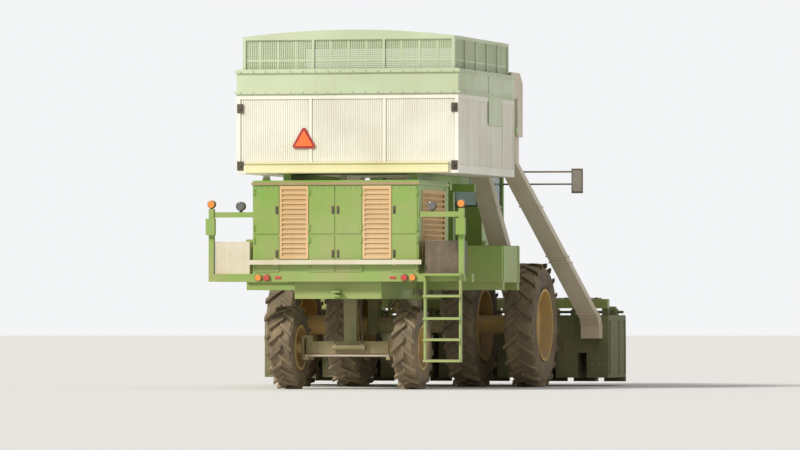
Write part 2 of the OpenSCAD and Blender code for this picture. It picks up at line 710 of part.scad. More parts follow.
// Seat, console and steering column with its wheel
module driver_station() color(black) from_axle() {
    base = cab_z + 60;
    y = cab_rear - 560;
    block([-220, 220], [y - 200, y + 200], [base, base + 380]);
    block([-260, 260], [y - 260, y + 260], [base + 380, base + 500]);
    block([-250, 250], [y + 180, y + 280], [base + 490, base + 1080]);
    block([-480, -300], [y - 350, y + 250], [base, base + 640]);
    rod([0, y - 557, base + 12], [0, y - 430, base + 680], 35);
    block([-60, 60], [y - 610, y - 500], [base, base + 30]);
    translate([0, y - wheel_at[0], base + wheel_at[1]]) rotate([20, 0, 0]) rotate_extrude()
        translate([wheel_r, 0]) circle(r = 16, $fn = 12);
    translate([0, y - wheel_at[0], base + wheel_at[1]]) rotate([20, 0, 0])
        for (a = [90, 210, 330]) rotate([0, 0, a]) translate([0, -14, -10]) cube([wheel_r, 28, 18]);
}

// Walkway beside the cab with its rails and bearers, and the boarding ladder behind the left row unit
module platform() color(green) from_axle() {
    deck = cab_z;
    half = cab_w / 2;
    block([half, plat_x], [cab_front, plat_rear], [deck - 60, deck]);
    for (y = [cab_front + 100, cab_front + bearer_mid, plat_rear - 100])
        block([rail_out, plat_x], [y - 30, y + 30], [deck_z, deck - 50]);
    for (y = [cab_front + 20, cab_front + guard_mid, cab_rear - guard_end])
        rod([plat_x - 20, y, deck - 10], [plat_x - 20, y, deck + guard_h], 17);
    for (z = [guard_h / 2, guard_h])
        rod([plat_x - 20, cab_front + 20, deck + z], [plat_x - 20, cab_rear - guard_end, deck + z], 17);
    rod([half + 60, cab_front + 20, deck - 10], [half + 60, cab_front + 20, deck + guard_h], 17);
    rod([half + 60, cab_front + 20, deck + guard_h], [plat_x - 20, cab_front + 20, deck + guard_h], 17);
    boarding_ladder();
}

module boarding_ladder() {
    y = [cab_rear - 300, cab_rear + 100];
    foot = [plat_x + 600, 450];
    head = [plat_x - 10, cab_z];
    for (e = [y[0], y[1] - 30]) intersection() {
        rear_plate([e, e + 30], [head, [head[0] + 140, head[1]], [foot[0] + 140, foot[1]], foot]);
        block([plat_x - 10, foot[0] + 150], [y[0] - 10, y[1] + 10], [foot[1], head[1]]);
    }
    for (i = [0:5]) {
        t = (i + 0.4) / 6;
        p = foot + t * (head - foot);
        block([p[0] + 5, p[0] + 165], [y[0], y[1]], [p[1], p[1] + 35]);
    }
}

// Mirrors on long arms from the cab's front pillars
module mirrors() color(black) from_axle() pair() {
    y = cab_front + 60;
    x = cab_w / 2 + mirror_reach;
    top = cab_top - 240;
    for (z = [top - 250, top - 50]) rod([cab_w / 2 + 0.6, y, z], [x, y - 40, z], 14);
    block([x - 90, x + 90], [y - 70, y - 20], [top - 400, top]);
}

// Parallel lift arms between the rails' ears and the header
module lift_arms() color(green) from_axle() pair() difference() {
    union() {
        for (p = [[arm_y, arm_z], [header_pin_y, header_pin_z]])
            cross_bar([rail_x - arm_t / 2, rail_x + arm_t / 2], p[0], p[1], eye_r);
        translate([0, arm_y, arm_z]) rotate([arm_droop, 0, 0])
            block([rail_x - arm_t / 2, rail_x + arm_t / 2], [-arm_len, 0], [-50, 50]);
        cross_bar([lift_x + 34, rail_x - arm_t / 2 + 5], lift_eye[0], lift_eye[1], 40);
    }
    for (p = [[arm_y, arm_z], [header_pin_y, header_pin_z]])
        cross_bar([rail_x - arm_t, rail_x + arm_t], p[0], p[1], pin_r + run);
}

// Places a shape drawn upright along the lift cylinder's axis
module on_lift_line() translate([lift_x, lift_foot[0], lift_foot[1]]) rotate([lift_lean, 0, 0]) children();

// Barrels of the two lift cylinders, with their foot eyes
module lift_barrels() color(yellow) from_axle() pair() on_lift_line() difference() {
    union() {
        translate([0, 0, 50]) cylinder(r = 36, h = lift_tube - 50);
        rotate([0, 90, 0]) cylinder(r = 42, h = 56, center = true);
        block([-28, 28], [-30, 30], [0, 70]);
    }
    translate([0, 0, 90]) cylinder(r = 25 + run, h = lift_tube);
    rotate([0, 90, 0]) cylinder(r = lift_pin + run, h = 80, center = true);
}

// Rods of the lift cylinders, with their top eyes beside the arms
module lift_rods() color(steel) from_axle() pair() on_lift_line() {
    translate([0, 0, 120]) cylinder(r = 25, h = 60);
    translate([0, 0, 120]) cylinder(r = 20, h = lift_len - 140);
    translate([0, 0, lift_len]) rotate([0, 90, 0]) cylinder(r = 38, h = 56, center = true);
    translate([0, 0, lift_len]) rotate([0, 90, 0]) cylinder(r = 20, h = 66, center = true);
}

// Square header beam with the ears and pins that the lift arms carry
module header_beam() color(green) from_axle() {
    half = beam_side / 2;
    block([-rows[5] - 287.5, rows[5] + 287.5], [beam_y - half, beam_y + half],
        [beam_z - half, beam_z + half]);
    pair() {
        for (side = [-1, 1]) {
            x = rail_x + side * (arm_t / 2 + gap + 12);
            block([x - 12, x + 12], [beam_y + half - 5, header_pin_y], [beam_z - eye_r, beam_z + eye_r]);
            cross_bar([x - 12, x + 12], header_pin_y, beam_z, eye_r);
        }
        cross_bar([rail_x - arm_t / 2 - gap - 24, rail_x + arm_t / 2 + gap + 24], header_pin_y, beam_z,
            pin_r);
    }
}

// One row unit: two hollow cabinets open to the channel, joined over it, with shoes and gear case
module row_unit(i) color(green) from_axle() translate([rows[i], 0, 0]) {
    inner = channel_w / 2;
    outer = unit_w / 2;
    pair() {
        difference() {
            block([inner, outer], [unit_front, unit_rear], [unit_floor, unit_top]);
            block([inner + unit_wall, outer - unit_wall], [unit_front + unit_wall, unit_rear - unit_wall],
                [unit_floor + unit_wall, unit_top - unit_wall]);
            block([inner - 10, inner + unit_wall + 10], [unit_front + 250, unit_rear - 350],
                [unit_floor + 120, unit_top - 180]);
        }
        hull() {
            block([inner, outer], [unit_front - 20, unit_front], [60, unit_top - 20]);
            block([inner + 12, outer - 40], [nose_y, nose_y + 20], [60, 620]);
        }
        hull() {
            block([inner + 12, outer - 40], [nose_y, nose_y + 20], [60, 620]);
            block([inner + 60, outer - 190], [shoe_tip, shoe_tip + 30], [60, 120]);
        }
        block([outer - 5, outer + 6], [unit_front + 80, unit_rear - 80], [unit_floor + 90, unit_top - 120]);
        for (y = [unit_front + 80, unit_front + 480, unit_rear - 130])
            block([outer - 5, outer + 16], [y, y + 50], [unit_floor + 60, unit_top - 90]);
        block([inner + 40, outer - 30], [unit_rear - 5, unit_rear + 12], [unit_floor + 60, unit_floor + 400]);
        block([inner + 120, inner + 220], [beam_y - 70, beam_y + 70], [unit_top, beam_z - beam_side / 2]);
        translate([inner + 170, unit_front + 230, unit_top]) cylinder(r = 120, h = 90);
        translate([inner + 170, unit_front + 230, unit_top + 90]) cylinder(r1 = 110, r2 = 70, h = 50);
        block([inner + 110, outer - 60], [unit_front + 330, unit_front + 470], [unit_top, unit_top + 90]);
    }
    cross_bar([-row_pitch / 2, row_pitch / 2], unit_front + 400, unit_top + 50, 22);
    block([-inner, inner], [unit_front + 420, unit_rear], [unit_top - 80, unit_top]);
    block([-inner, inner], [unit_rear - 40, unit_rear], [unit_floor + 400, unit_top]);
}

// Picking drums in the cabinets, two for each row, each with its column of doffers behind it
module picker_drums() color(steel) from_axle()
    for (x = rows, side = [0, 1])
        translate([x, unit_front + drum_front + side * drum_step, 0]) mirror([side, 0, 0])
        translate([channel_w / 2 + drum_r + 35, 0, unit_floor + unit_wall]) {
            drum();
            translate([95, 165, 0]) doffers();
        }

// Core and head plates, with the upright bars that carry the spindles
module drum() {
    cylinder(r = 60, h = cabinet_h);
    for (z = [100, 740]) translate([0, 0, z]) cylinder(r = drum_r, h = 40);
    for (i = [0:drum_bars - 1])
        rotate([0, 0, i * 360 / drum_bars]) block([drum_r - 28, drum_r - 8], [-9, 9], [100, 780]);
}

module doffers() {
    cylinder(r = 16, h = cabinet_h);
    for (i = [0:doffer_rows - 1]) translate([0, 0, 130 + i * 90]) cylinder(r = 40, h = 30);
}

// Picking ducts from the units' backs up to the heads: hollow, with an elbow and a knee
module lower_ducts() color(cream) from_axle()
    for (k = [0:2]) pair() difference() {
        union() {
            duct_run(duct_feet[k], duct_tops[k], 0);
            for (t = duct_bands) duct_band(duct_feet[k], duct_tops[k], t);
        }
        duct_run(duct_feet[k], duct_tops[k], 20);
    }

module duct_run(foot, top, wall) {
    over = wall > 0 ? 10 : 0;
    points = [[foot, unit_rear + duct_d / 2, unit_top - 370 - over],
        [foot, unit_rear + duct_d / 2, unit_top - 180],
        [foot, duct_elbow[0], duct_elbow[1]],
        [top, duct_knee[0], duct_knee[1]], [top, duct_knee[0], duct_top + over]];
    for (i = [0:3]) hull() {
        duct_slab(points[i], wall);
        duct_slab(points[i + 1], wall);
    }
}

// Flange round a duct, at a share t of the way from its elbow to its knee
module duct_band(foot, top, t) {
    z = duct_elbow[1] + t * (duct_knee[1] - duct_elbow[1]);
    translate([foot + t * (top - foot), duct_elbow[0] + t * (duct_knee[0] - duct_elbow[0]), z])
        cube([duct_w + 36, duct_d + 36, 24], center = true);
}

module duct_slab(p, wall)
    translate([p[0], p[1], p[2]]) cube([duct_w - 2 * wall, duct_d - 2 * wall, 2], center = true);

// Lower basket: floor on its beams, posts, bands and rims, with the knuckles of the tilt hinge
module basket_body() color(green) from_axle() {
    half = basket_w / 2;
    block([-half, half], [basket_front, basket_rear], [basket_z, basket_z + floor_t]);
    for (x = [-half, half - post_w], y = [basket_front, basket_rear - post_w])
        block([x, x + post_w], [y, y + post_w], [basket_z, lower_top]);
    for (z = [basket_z, lower_top - 60]) {
        top = z > basket_z ? z + 60 : z + rail_band;
        for (y = [basket_front, basket_rear - post_w]) block([-half, half], [y, y + post_w], [z, top]);
        for (x = [-half, half - post_w]) block([x, x + post_w], [basket_front, basket_rear], [z, top]);
    }
    lower_posts();
    pair() for (y = [upper_y[0], upper_y[1] - upper_post])
        block([upper_x + seat, half - post_w + 5], [y, y + upper_post], [lower_top - 60, lower_top]);
    block([half - post_w, half], [door_span[0] - 10, door_span[1] + 10], [door_base - 60, door_base]);
    for (y = cradle_y) difference() {
        union() {
            block([tilt_pin[0] - 50, tilt_pin[0] + 50], [y - 29, y + 29], [tilt_pin[1], basket_z + 10]);
            translate([tilt_pin[0], y + 29, tilt_pin[1]]) rotate([90, 0, 0]) cylinder(r = 50, h = 58);
        }
        translate([tilt_pin[0], y + 40, tilt_pin[1]]) rotate([90, 0, 0]) cylinder(r = pin_r + run, h = 80);
    }
    for (y = dump_y) {
        block([dump_eye[0] - 60, dump_eye[0] + 60], [y + 46, y + 66], [dump_eye[1], basket_z + 10]);
        translate([dump_eye[0], y + 66, dump_eye[1]]) rotate([90, 0, 0]) cylinder(r = 60, h = 20);
    }
    for (y = door_eyes()) door_ear(y);
}

// Posts between the corners of the lower basket, and the two at the ends of the unloading door
module lower_posts() {
    half = basket_w / 2;
    for (x = [-half / 3, half / 3], y = [basket_front, basket_rear - post_w])
        block([x - 25, x + 25], [y + 5, y + post_w - 5], [basket_z, lower_top]);
    for (i = [1:4]) {
        y = basket_front + i * basket_len / 5;
        block([-half + 5, -half + post_w - 5], [y - 25, y + 25], [basket_z, lower_top]);
        block([half - post_w + 5, half - 5], [y - 25, y + 25], [basket_z, door_base - 30]);
    }
    for (y = [door_span[0] - post_w, door_span[1]])
        block([half - post_w, half], [y, y + post_w], [basket_z, lower_top]);
}

// Pale rail across the back of the basket's floor
module basket_rail() color(cream) from_axle() {
    x = [150 - basket_w / 2, basket_w / 2 - 150];
    block(x, [basket_rear, basket_rear + 35], [basket_z + 10, basket_z + 175]);
    for (z = [basket_z + 10, basket_z + 150]) block(x, [basket_rear, basket_rear + 55], [z, z + 25]);
}

// Sheet rim round the sides and back of the lower basket's top, open in front for the ducts
module basket_rim() color([0.62, 0.70, 0.52]) from_axle() {
    half = basket_w / 2;
    z = [lower_top, lower_top + rim_h];
    for (x = [[-half, -half + rim_t], [half - rim_t, half]]) block(x, [basket_front + 10, basket_rear], z);
    block([-half, half], [basket_rear - rim_t, basket_rear], z);
    for (e = [z[0] + 20, z[1] - 60]) {
        for (x = [[-half - 25, -half + 5], [half - 5, half + 25]])
            block(x, [basket_front + 10, basket_rear], [e, e + 40]);
        block([-half - 25, half + 25], [basket_rear - 5, basket_rear + 25], [e, e + 40]);
    }
    block([-half - 12, -half], [basket_front + 900, basket_front + 1780], [basket_z + 780, z[1]]);
}

// Stations of the unloading door's hinges
function door_eyes() = [for (t = [0.08, 0.36, 0.64, 0.92]) door_span[0] + t * (door_span[1] - door_span[0])];

// One pin of the unloading door between its two ears on the basket's left wall
module door_ear(y) {
    for (side = [-1, 1])
        block([basket_w / 2 - 5, door_hinge[0] + 16], [y + side * 45 - 8, y + side * 45 + 8],
            [door_hinge[1] - 18, door_hinge[1] + 18]);
    translate([door_hinge[0], y + 50, door_hinge[1]]) rotate([90, 0, 0]) cylinder(r = 12, h = 100);
}

// Sheets between the lower posts
module basket_screens() color(cream) from_axle() difference() {
    half = basket_w / 2;
    mid = post_w / 2;
    z = [basket_z + rail_band, lower_top - 60];
    union() {
        block([mid - 4 - half, mid + 4 - half], [basket_front + post_w, basket_rear - post_w], z);
        for (y = [basket_front + mid, basket_rear - mid])
            block([post_w - half, half - post_w], [y - 4, y + 4], z);
        block([half - mid - 4, half - mid + 4], [door_span[0], door_span[1]], [z[0], door_base - 60]);
        for (y = [[basket_front + post_w, door_span[0] - post_w],
            [door_span[1] + post_w, basket_rear - post_w]])
            block([half - mid - 4, half - mid + 4], y, z);
    }
    lower_posts();
}

// Unloading door with its frame, slats and hinge eyes
module basket_door() color(cream) from_axle() {
    x = [door_hinge[0] - 15, door_hinge[0] + 15];
    y = [door_span[0] - 30, door_span[1] + 30];
    z = [door_hinge[1] + 30, lower_top - 70];
    difference() {
        block(x, y, z);
        block([x[0] + 10, x[1] + 10], [y[0] + 50, y[1] - 50], [z[0] + 50, z[1] - 50]);
    }
    for (i = [1:8]) {
        rib = y[0] + i * (y[1] - y[0]) / 9;
        block(x, [rib - 15, rib + 15], z);
    }
    for (e = door_eyes()) difference() {
        union() {
            block([x[0] + 3, x[1] - 3], [e - 30, e + 30], [door_hinge[1], z[0] + 10]);
            translate([door_hinge[0], e + 30, door_hinge[1]]) rotate([90, 0, 0]) cylinder(r = 22, h = 60);
        }
        translate([door_hinge[0], e + 40, door_hinge[1]]) rotate([90, 0, 0]) cylinder(r = 12 + run, h = 80);
    }
}

// Upper basket section that slides down inside the lower one, with its crowned roof
module top_section() color(cream) from_axle() {
    t = upper_post;
    for (x = [-upper_x, upper_x - t], y = [upper_y[0], upper_y[1] - t])
        block([x, x + t], [y, y + t], [upper_base, upper_top]);
    for (z = [upper_base, upper_top - t]) {
        for (y = [upper_y[0], upper_y[1] - t]) block([-upper_x, upper_x], [y, y + t], [z, z + t]);
        for (x = [-upper_x, upper_x - t]) block([x, x + t], upper_y, [z, z + t]);
    }
    upper_posts();
    for (y = [upper_y[0], upper_y[1] - t])
        rear_plate([y, y + t], concat(roof_arc(0), [[upper_x, upper_top - 10], [-upper_x, upper_top - 10]]));
    difference() {
        rear_plate(upper_y, roof_band(0, sheet + 4));
        for (x = roof_bays)
            block([x * upper_x, (x + 0.56) * upper_x], upper_y + [120, -120],
                [upper_top - 60, upper_top + roof_rise + 10]);
    }
}

// Posts between the corners of the upper section
module upper_posts() {
    t = upper_post;
    for (x = [-upper_x / 3, upper_x / 3])
        block([x - 20, x + 20], [upper_y[1] - t, upper_y[1]], [upper_base, upper_top]);
    for (i = [1:4], x = [-upper_x, upper_x - t]) {
        y = upper_y[0] + i * (upper_y[1] - upper_y[0]) / 5;
        block([x, x + t], [y - 20, y + 20], [upper_base, upper_top]);
    }
}

// Crowned line of the roof, lowered by t, and the band between two such lines
function roof_arc(t) = [for (a = [-1:0.25:1]) [a * upper_x, upper_top + roof_rise * (1 - a * a) - t]];
function roof_band(t0, t1) = concat(roof_arc(t0), [for (i = [8:-1:0]) roof_arc(t1)[i]]);

// Sheets between the upper posts, open to the duct heads
module top_screens() color(cream) from_axle() difference() {
    mid = upper_post / 2;
    z = [upper_base + upper_post, upper_top - upper_post];
    union() {
        pair() block([mid - 4 - upper_x, mid + 4 - upper_x], upper_y + [upper_post, -upper_post], z);
        block([upper_post - upper_x, upper_x - upper_post], [upper_y[1] - mid - 4, upper_y[1] - mid + 4], z);
        roof_sheets();
    }
    upper_posts();
    for (h = cells(z, 3)) {
        for (x = cells([-upper_x, upper_x], 12)) block(x, [upper_y[1] - upper_post, upper_y[1]], h);
        pair() for (y = cells(upper_y, 10)) block([upper_x - upper_post, upper_x], y, h);
    }
    for (bay = roof_bays, x = cells(upper_x * [bay, bay + 0.56], 4), y = cells(upper_y + [110, -110], 10))
        block(x, y, [upper_top - 60, upper_top + roof_rise]);
}

// The clear spans between the bars of a grid that parts a span in count
function cells(span, count) = [for (i = [0:count - 1]) [for (side = [0, 1])
    span[0] + (i + side) * (span[1] - span[0]) / count + (0.5 - side) * grid_bar]];

// Roof panels under the crowned frame, one to each of its openings
module roof_sheets() for (x = roof_bays) intersection() {
    rear_plate(upper_y + [110, -110], roof_band(sheet + 4, 2 * sheet + 4));
    block([(x - 0.01) * upper_x, (x + 0.57) * upper_x], upper_y, [upper_top - 60, upper_top + roof_rise]);
}

// Places a shape drawn upright along the dump cylinder's axis
module on_dump_line() translate([dump_foot[0], 0, dump_foot[1]]) rotate([0, dump_lean, 0]) children();

// Barrels of the two dump cylinders, with their foot eyes
module dump_barrels() color(yellow) from_axle() for (y = dump_y) translate([0, y, 0]) on_dump_line()
    difference() {
    union() {
        translate([0, 0, 60]) cylinder(r = 60, h = dump_tube - 60);
        rotate([90, 0, 0]) cylinder(r = 50, h = 60, center = true);
        block([-40, 40], [-30, 30], [0, 90]);
    }
    translate([0, 0, 95]) cylinder(r = 45 + run, h = dump_tube);
    rotate([90, 0, 0]) cylinder(r = pin_r + run, h = 80, center = true);
}

// Rods of the dump cylinders, with piston, top eye and its pin beside the basket's lug
module dump_rods() color(steel) from_axle() for (y = dump_y) translate([0, y, 0]) on_dump_line() {
    translate([0, 0, 110]) cylinder(r = 45, h = 60);
    translate([0, 0, 110]) cylinder(r = 32, h = dump_len - 130);
    translate([0, 0, dump_len]) rotate([90, 0, 0]) cylinder(r = 42, h = 60, center = true);
    translate([0, 0, dump_len]) rotate([90, 0, 0]) cylinder(r = 25, h = 80, center = true);
}

main_frame();
cross_members();
outriggers();
wing_posts();
drive_axle();
rear_axle();
knuckle_left();
knuckle_right();
tie_rod();
drive_tyres_left();
drive_tyres_right();
drive_rims_left();
drive_rims_right();
steer_tyre_left();
steer_tyre_right();
steer_rim_left();
steer_rim_right();
engine();
engine_cover();
rear_screens();
side_tanks();
rear_box();
wash_tank();
service_ladder();
rear_bar();
tail_lamps();
basket_cradle();
duct_mast();
duct_heads();
fan_housing();
cab_shell();
cab_roof();
cab_glass();
cab_door();
door_glass();
driver_station();
platform();
mirrors();
lift_arms();
lift_barrels();
lift_rods();
header_beam();
row_unit(0);  // row_unit_1
row_unit(1);  // row_unit_2
row_unit(2);  // row_unit_3
row_unit(3);  // row_unit_4
row_unit(4);  // row_unit_5
row_unit(5);  // row_unit_6
picker_drums();
lower_ducts();
basket_body();
basket_rim();
basket_rail();
basket_screens();
basket_door();
top_section();
top_screens();
dump_barrels();
dump_rods();
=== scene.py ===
"""Looks of a basket-type cotton harvester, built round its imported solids.

Lengths are in metres, with +Z up and -Y forward.
"""

import math

import bmesh
import bpy
from mathutils import Matrix, Vector


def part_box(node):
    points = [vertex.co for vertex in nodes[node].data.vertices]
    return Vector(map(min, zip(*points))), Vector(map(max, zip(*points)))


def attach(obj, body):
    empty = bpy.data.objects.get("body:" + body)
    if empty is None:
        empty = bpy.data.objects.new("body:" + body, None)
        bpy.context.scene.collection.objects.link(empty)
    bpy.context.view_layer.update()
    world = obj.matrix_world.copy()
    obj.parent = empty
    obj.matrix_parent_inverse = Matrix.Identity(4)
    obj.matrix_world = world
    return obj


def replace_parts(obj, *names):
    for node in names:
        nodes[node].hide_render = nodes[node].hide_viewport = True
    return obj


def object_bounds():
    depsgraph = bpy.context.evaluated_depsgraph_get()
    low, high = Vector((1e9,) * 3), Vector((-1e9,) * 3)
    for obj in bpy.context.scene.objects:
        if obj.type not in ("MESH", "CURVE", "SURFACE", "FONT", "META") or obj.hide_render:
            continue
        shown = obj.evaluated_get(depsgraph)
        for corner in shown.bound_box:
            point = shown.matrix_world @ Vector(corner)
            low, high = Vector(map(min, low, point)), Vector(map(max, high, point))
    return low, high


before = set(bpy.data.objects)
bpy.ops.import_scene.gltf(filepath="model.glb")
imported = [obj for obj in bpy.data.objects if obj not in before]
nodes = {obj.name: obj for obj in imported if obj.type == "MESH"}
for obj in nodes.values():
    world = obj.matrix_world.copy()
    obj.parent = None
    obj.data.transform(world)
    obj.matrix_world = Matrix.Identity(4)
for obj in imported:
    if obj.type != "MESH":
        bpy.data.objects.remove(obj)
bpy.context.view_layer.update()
scene = bpy.context.scene
scene.view_settings.view_transform = "Standard"

# Colours of the finishes, as linear RGB
HARVEST_GREEN = (0.215, 0.390, 0.055)
# Darker green of the row units: painted shade, with grime
SHADED_GRIMY_GREEN = (0.075, 0.145, 0.040)
AXLE_GREEN = (0.070, 0.170, 0.045)
CASTING_GREEN = (0.050, 0.110, 0.045)
SAGE = (0.53, 0.62, 0.40)
BASKET_CREAM = (0.87, 0.85, 0.74)
TANK_CREAM = (0.76, 0.72, 0.56)
DUCT_TAN = (0.66, 0.59, 0.44)
WHEEL_YELLOW = (0.72, 0.45, 0.04)
CYLINDER_YELLOW = (0.75, 0.52, 0.06)
RAIL_YELLOW = (0.82, 0.76, 0.44)
FIELD_DUST = (0.50, 0.37, 0.21)
# Darker brown dust on the row units: painted shade, with dust
SHADED_HEADER_DUST = (0.33, 0.22, 0.13)
SCREEN_DUST = (0.74, 0.49, 0.23)
LINT_TAN = (0.66, 0.44, 0.22)
# Dark tan of the roof's rear lip: painted shade, with dust
SHADED_SILL_TAN = (0.38, 0.27, 0.14)
BARE_METAL = (0.20, 0.13, 0.08)
STEEL_GREY = (0.42, 0.41, 0.39)
CHROME_GREY = (0.75, 0.75, 0.75)
MIRROR_SILVER = (0.80, 0.82, 0.84)
TYRE_BLACK = (0.026, 0.024, 0.022)
SATIN_BLACK = (0.022, 0.021, 0.020)
HOSE_BLACK = (0.030, 0.028, 0.026)
CLOTH_BLACK = (0.050, 0.050, 0.055)
GLASS_TINT = (0.42, 0.50, 0.48)
LAMP_AMBER = (0.90, 0.28, 0.02)
LAMP_RED = (0.55, 0.02, 0.015)
LAMP_CLEAR = (0.75, 0.75, 0.72)
LAMP_DARK = (0.09, 0.10, 0.11)
TRIANGLE_ORANGE = (0.95, 0.17, 0.02)
TRIANGLE_RED = (0.42, 0.02, 0.02)
FLOOR_GREY = (0.72, 0.71, 0.69)
STUDIO_WHITE = (1.00, 1.00, 1.00)
BACKDROP_GREY = (0.90, 0.91, 0.92)
SUN_COLOUR = (1.00, 0.97, 0.92)

# Axes and a quarter turn
X, Y, Z = (1, 0, 0), (0, 1, 0), (0, 0, 1)
QUARTER = math.pi / 2

# Places and sizes that pieces share
AXLE_Y = -0.800             # the drive axle, from which stations along the machine are measured
ROWS, ROW_PITCH = 6, 0.965  # the wheels run one and two pitches from the middle
CAB_SIDE = 0.850            # outer face of the cab's side wall
DECK_TOP = 2.180            # walking surface of the platform
BASKET_HALF = 1.750         # half width of the basket's lower body
DOOR_INNER = 1.760          # inner face of the unloading door
ROOF_EDGE = 5.400           # where the crowned roof of the telescoping top starts
MESH_PITCH = 0.030          # between two bars of the basket's mesh
LOWER_BAR = 0.022           # width of a bar in the mesh of the lower basket and its door

# The view from behind and a little to the right, with a long lens
VIEW_TURN, VIEW_DISTANCE, VIEW_WIDTH = math.radians(194), 110.0, 12.6
EYE_HEIGHT, AIM_HEIGHT = 1.15, 2.55
SENSOR = 36.0

# Shader groups


def new_group(kind, name, inputs, outputs):
    """An empty node group with its sockets, and the sockets to build between."""
    group = bpy.data.node_groups.new(name, kind)
    new_socket = group.interface.new_socket
    for label, form, value in inputs:
        socket = new_socket(name=label, in_out="INPUT", socket_type="NodeSocket" + form)
        if value is not None:
            socket.default_value = value
    for label, form in outputs:
        new_socket(name=label, in_out="OUTPUT", socket_type="NodeSocket" + form)
    given, result = group.nodes.new("NodeGroupInput"), group.nodes.new("NodeGroupOutput")
    return group, given.outputs, result.inputs


def put(tree, kind, settings=None, **values):
    """Adds a node with its settings and the values of its inputs.

    An input goes by its name, or by its number as i0, i1 and so on. A value may be another
    node's output.
    """
    node = tree.nodes.new(kind)
    for key, value in (settings or {}).items():
        setattr(node, key, value)
    for key, value in values.items():
        numbered = key[0] == "i" and key[1:].isdigit()
        socket = node.inputs[int(key[1:]) if numbered else key.replace("_", " ")]
        if isinstance(value, bpy.types.NodeSocket):
            tree.links.new(value, socket)
        else:
            socket.default_value = value
    return node


def math_node(tree, operation, a, b=0.0, clamp=False):
    """One step of arithmetic."""
    settings = {"operation": operation, "use_clamp": clamp}
    return put(tree, "ShaderNodeMath", settings, i0=a, i1=b).outputs[0]


def mix_colour(tree, factor, a, b):
    """Goes from one colour to another with the factor."""
    return put(tree, "ShaderNodeMix", {"data_type": "RGBA"}, i0=factor, i6=a, i7=b).outputs[2]


def ramp(tree, value, low, high, start=0.0, end=1.0):
    """Goes from start to end while the value goes from low to high."""
    return put(tree, "ShaderNodeMapRange", i0=value, i1=low, i2=high, i3=start, i4=end).outputs[0]


def noise(tree, place, scale, **values):
    """Soft noise at a place, between 0 and 1."""
    return put(tree, "ShaderNodeTexNoise", Vector=place, Scale=scale, **values).outputs[0]


def object_place(tree):
    """The place in the machine's own frame."""
    return put(tree, "ShaderNodeTexCoord").outputs["Object"]


def dust_group():
    """Field dust: thick on faces that look up and low on the machine, thin and patchy elsewhere."""
    group, given, result = new_group(
        "ShaderNodeTree", "field_dust",
        [("Paint", "Color", (*HARVEST_GREEN, 1)), ("Dust", "Color", (*FIELD_DUST, 1)),
         ("Amount", "Float", 0.5), ("Patch Scale", "Float", 1.6), ("Roughness", "Float", 0.4)],
        [("Color", "Color"), ("Roughness", "Float"), ("Mask", "Float")])
    place = object_place(group)
    height = put(group, "ShaderNodeSeparateXYZ", i0=place).outputs[2]
    normal = put(group, "ShaderNodeNewGeometry").outputs["Normal"]
    facing = put(group, "ShaderNodeSeparateXYZ", i0=normal).outputs[2]
    up = ramp(group, facing, 0.3, 0.95, 0.0, 0.75)
    low = ramp(group, height, 0.0, 2.9, 0.75, 0.0)
    patches = noise(group, place, given["Patch Scale"], Detail=6.0, Roughness=0.62)
    drawn_out = put(group, "ShaderNodeMapping", Vector=place, Scale=(9.0, 9.0, 0.7)).outputs[0]
    streaks = noise(group, drawn_out, 1.4, Detail=3.0)
    cloud = ramp(group, patches, 0.38, 0.72, 0.0, 0.75)
    run = ramp(group, streaks, 0.5, 0.8, 0.0, 0.35)
    settled, drifted = math_node(group, "ADD", up, low), math_node(group, "ADD", cloud, run)
    total = math_node(group, "ADD", settled, drifted)
    mask = math_node(group, "MULTIPLY", total, given["Amount"], clamp=True)
    colour = mix_colour(group, mask, given["Paint"], given["Dust"])
    rough = ramp(group, mask, 0.0, 1.0, given["Roughness"], 0.92)
    for label, value in (("Color", colour), ("Roughness", rough), ("Mask", mask)):
        group.links.new(value, result[label])
    return group


def wear_group():
    """Worn and chipped paint: small spots down to bare metal, and a slow fade of the colour."""
    group, given, result = new_group(
        "ShaderNodeTree", "worn_paint",
        [("Paint", "Color", (*HARVEST_GREEN, 1)), ("Metal", "Color", (*BARE_METAL, 1)),
         ("Chips", "Float", 0.3), ("Fade", "Float", 0.35)],
        [("Color", "Color"), ("Height", "Float")])
    place = object_place(group)
    spots = noise(group, place, 14.0, Detail=8.0, Roughness=0.7)
    edge = math_node(group, "SUBTRACT", 0.80, math_node(group, "MULTIPLY", given["Chips"], 0.2))
    chip = ramp(group, spots, edge, math_node(group, "ADD", edge, 0.03))
    slow = noise(group, place, 0.7, Detail=2.0)
    fade = math_node(group, "MULTIPLY", ramp(group, slow, 0.35, 0.7), given["Fade"], clamp=True)
    pale = put(group, "ShaderNodeHueSaturation", Saturation=0.72, Value=1.45, Color=given["Paint"])
    faded = mix_colour(group, fade, given["Paint"], pale.outputs[0])
    colour = mix_colour(group, chip, faded, given["Metal"])
    group.links.new(colour, result["Color"])
    group.links.new(math_node(group, "SUBTRACT", 1.0, chip), result["Height"])
    return group


def grain_group():
    """Fine grain of a finish, as a height."""
    group, given, result = new_group("ShaderNodeTree", "fine_grain", [("Scale", "Float", 120.0)],
                                     [("Height", "Float")])
    group.links.new(noise(group, object_place(group), given["Scale"], Detail=4.0), result["Height"])
    return group


field_dust = dust_group()
worn_paint = wear_group()
fine_grain = grain_group()


def use_group(tree, group, **values):
    """Adds a shader group with the values of its inputs."""
    return put(tree, "ShaderNodeGroup", {"node_tree": group}, **values)


def new_material(name):
    """A new material, its node tree and its shader."""
    material = bpy.data.materials.new(name)
    material.use_nodes = True
    return material, material.node_tree, material.node_tree.nodes["Principled BSDF"]


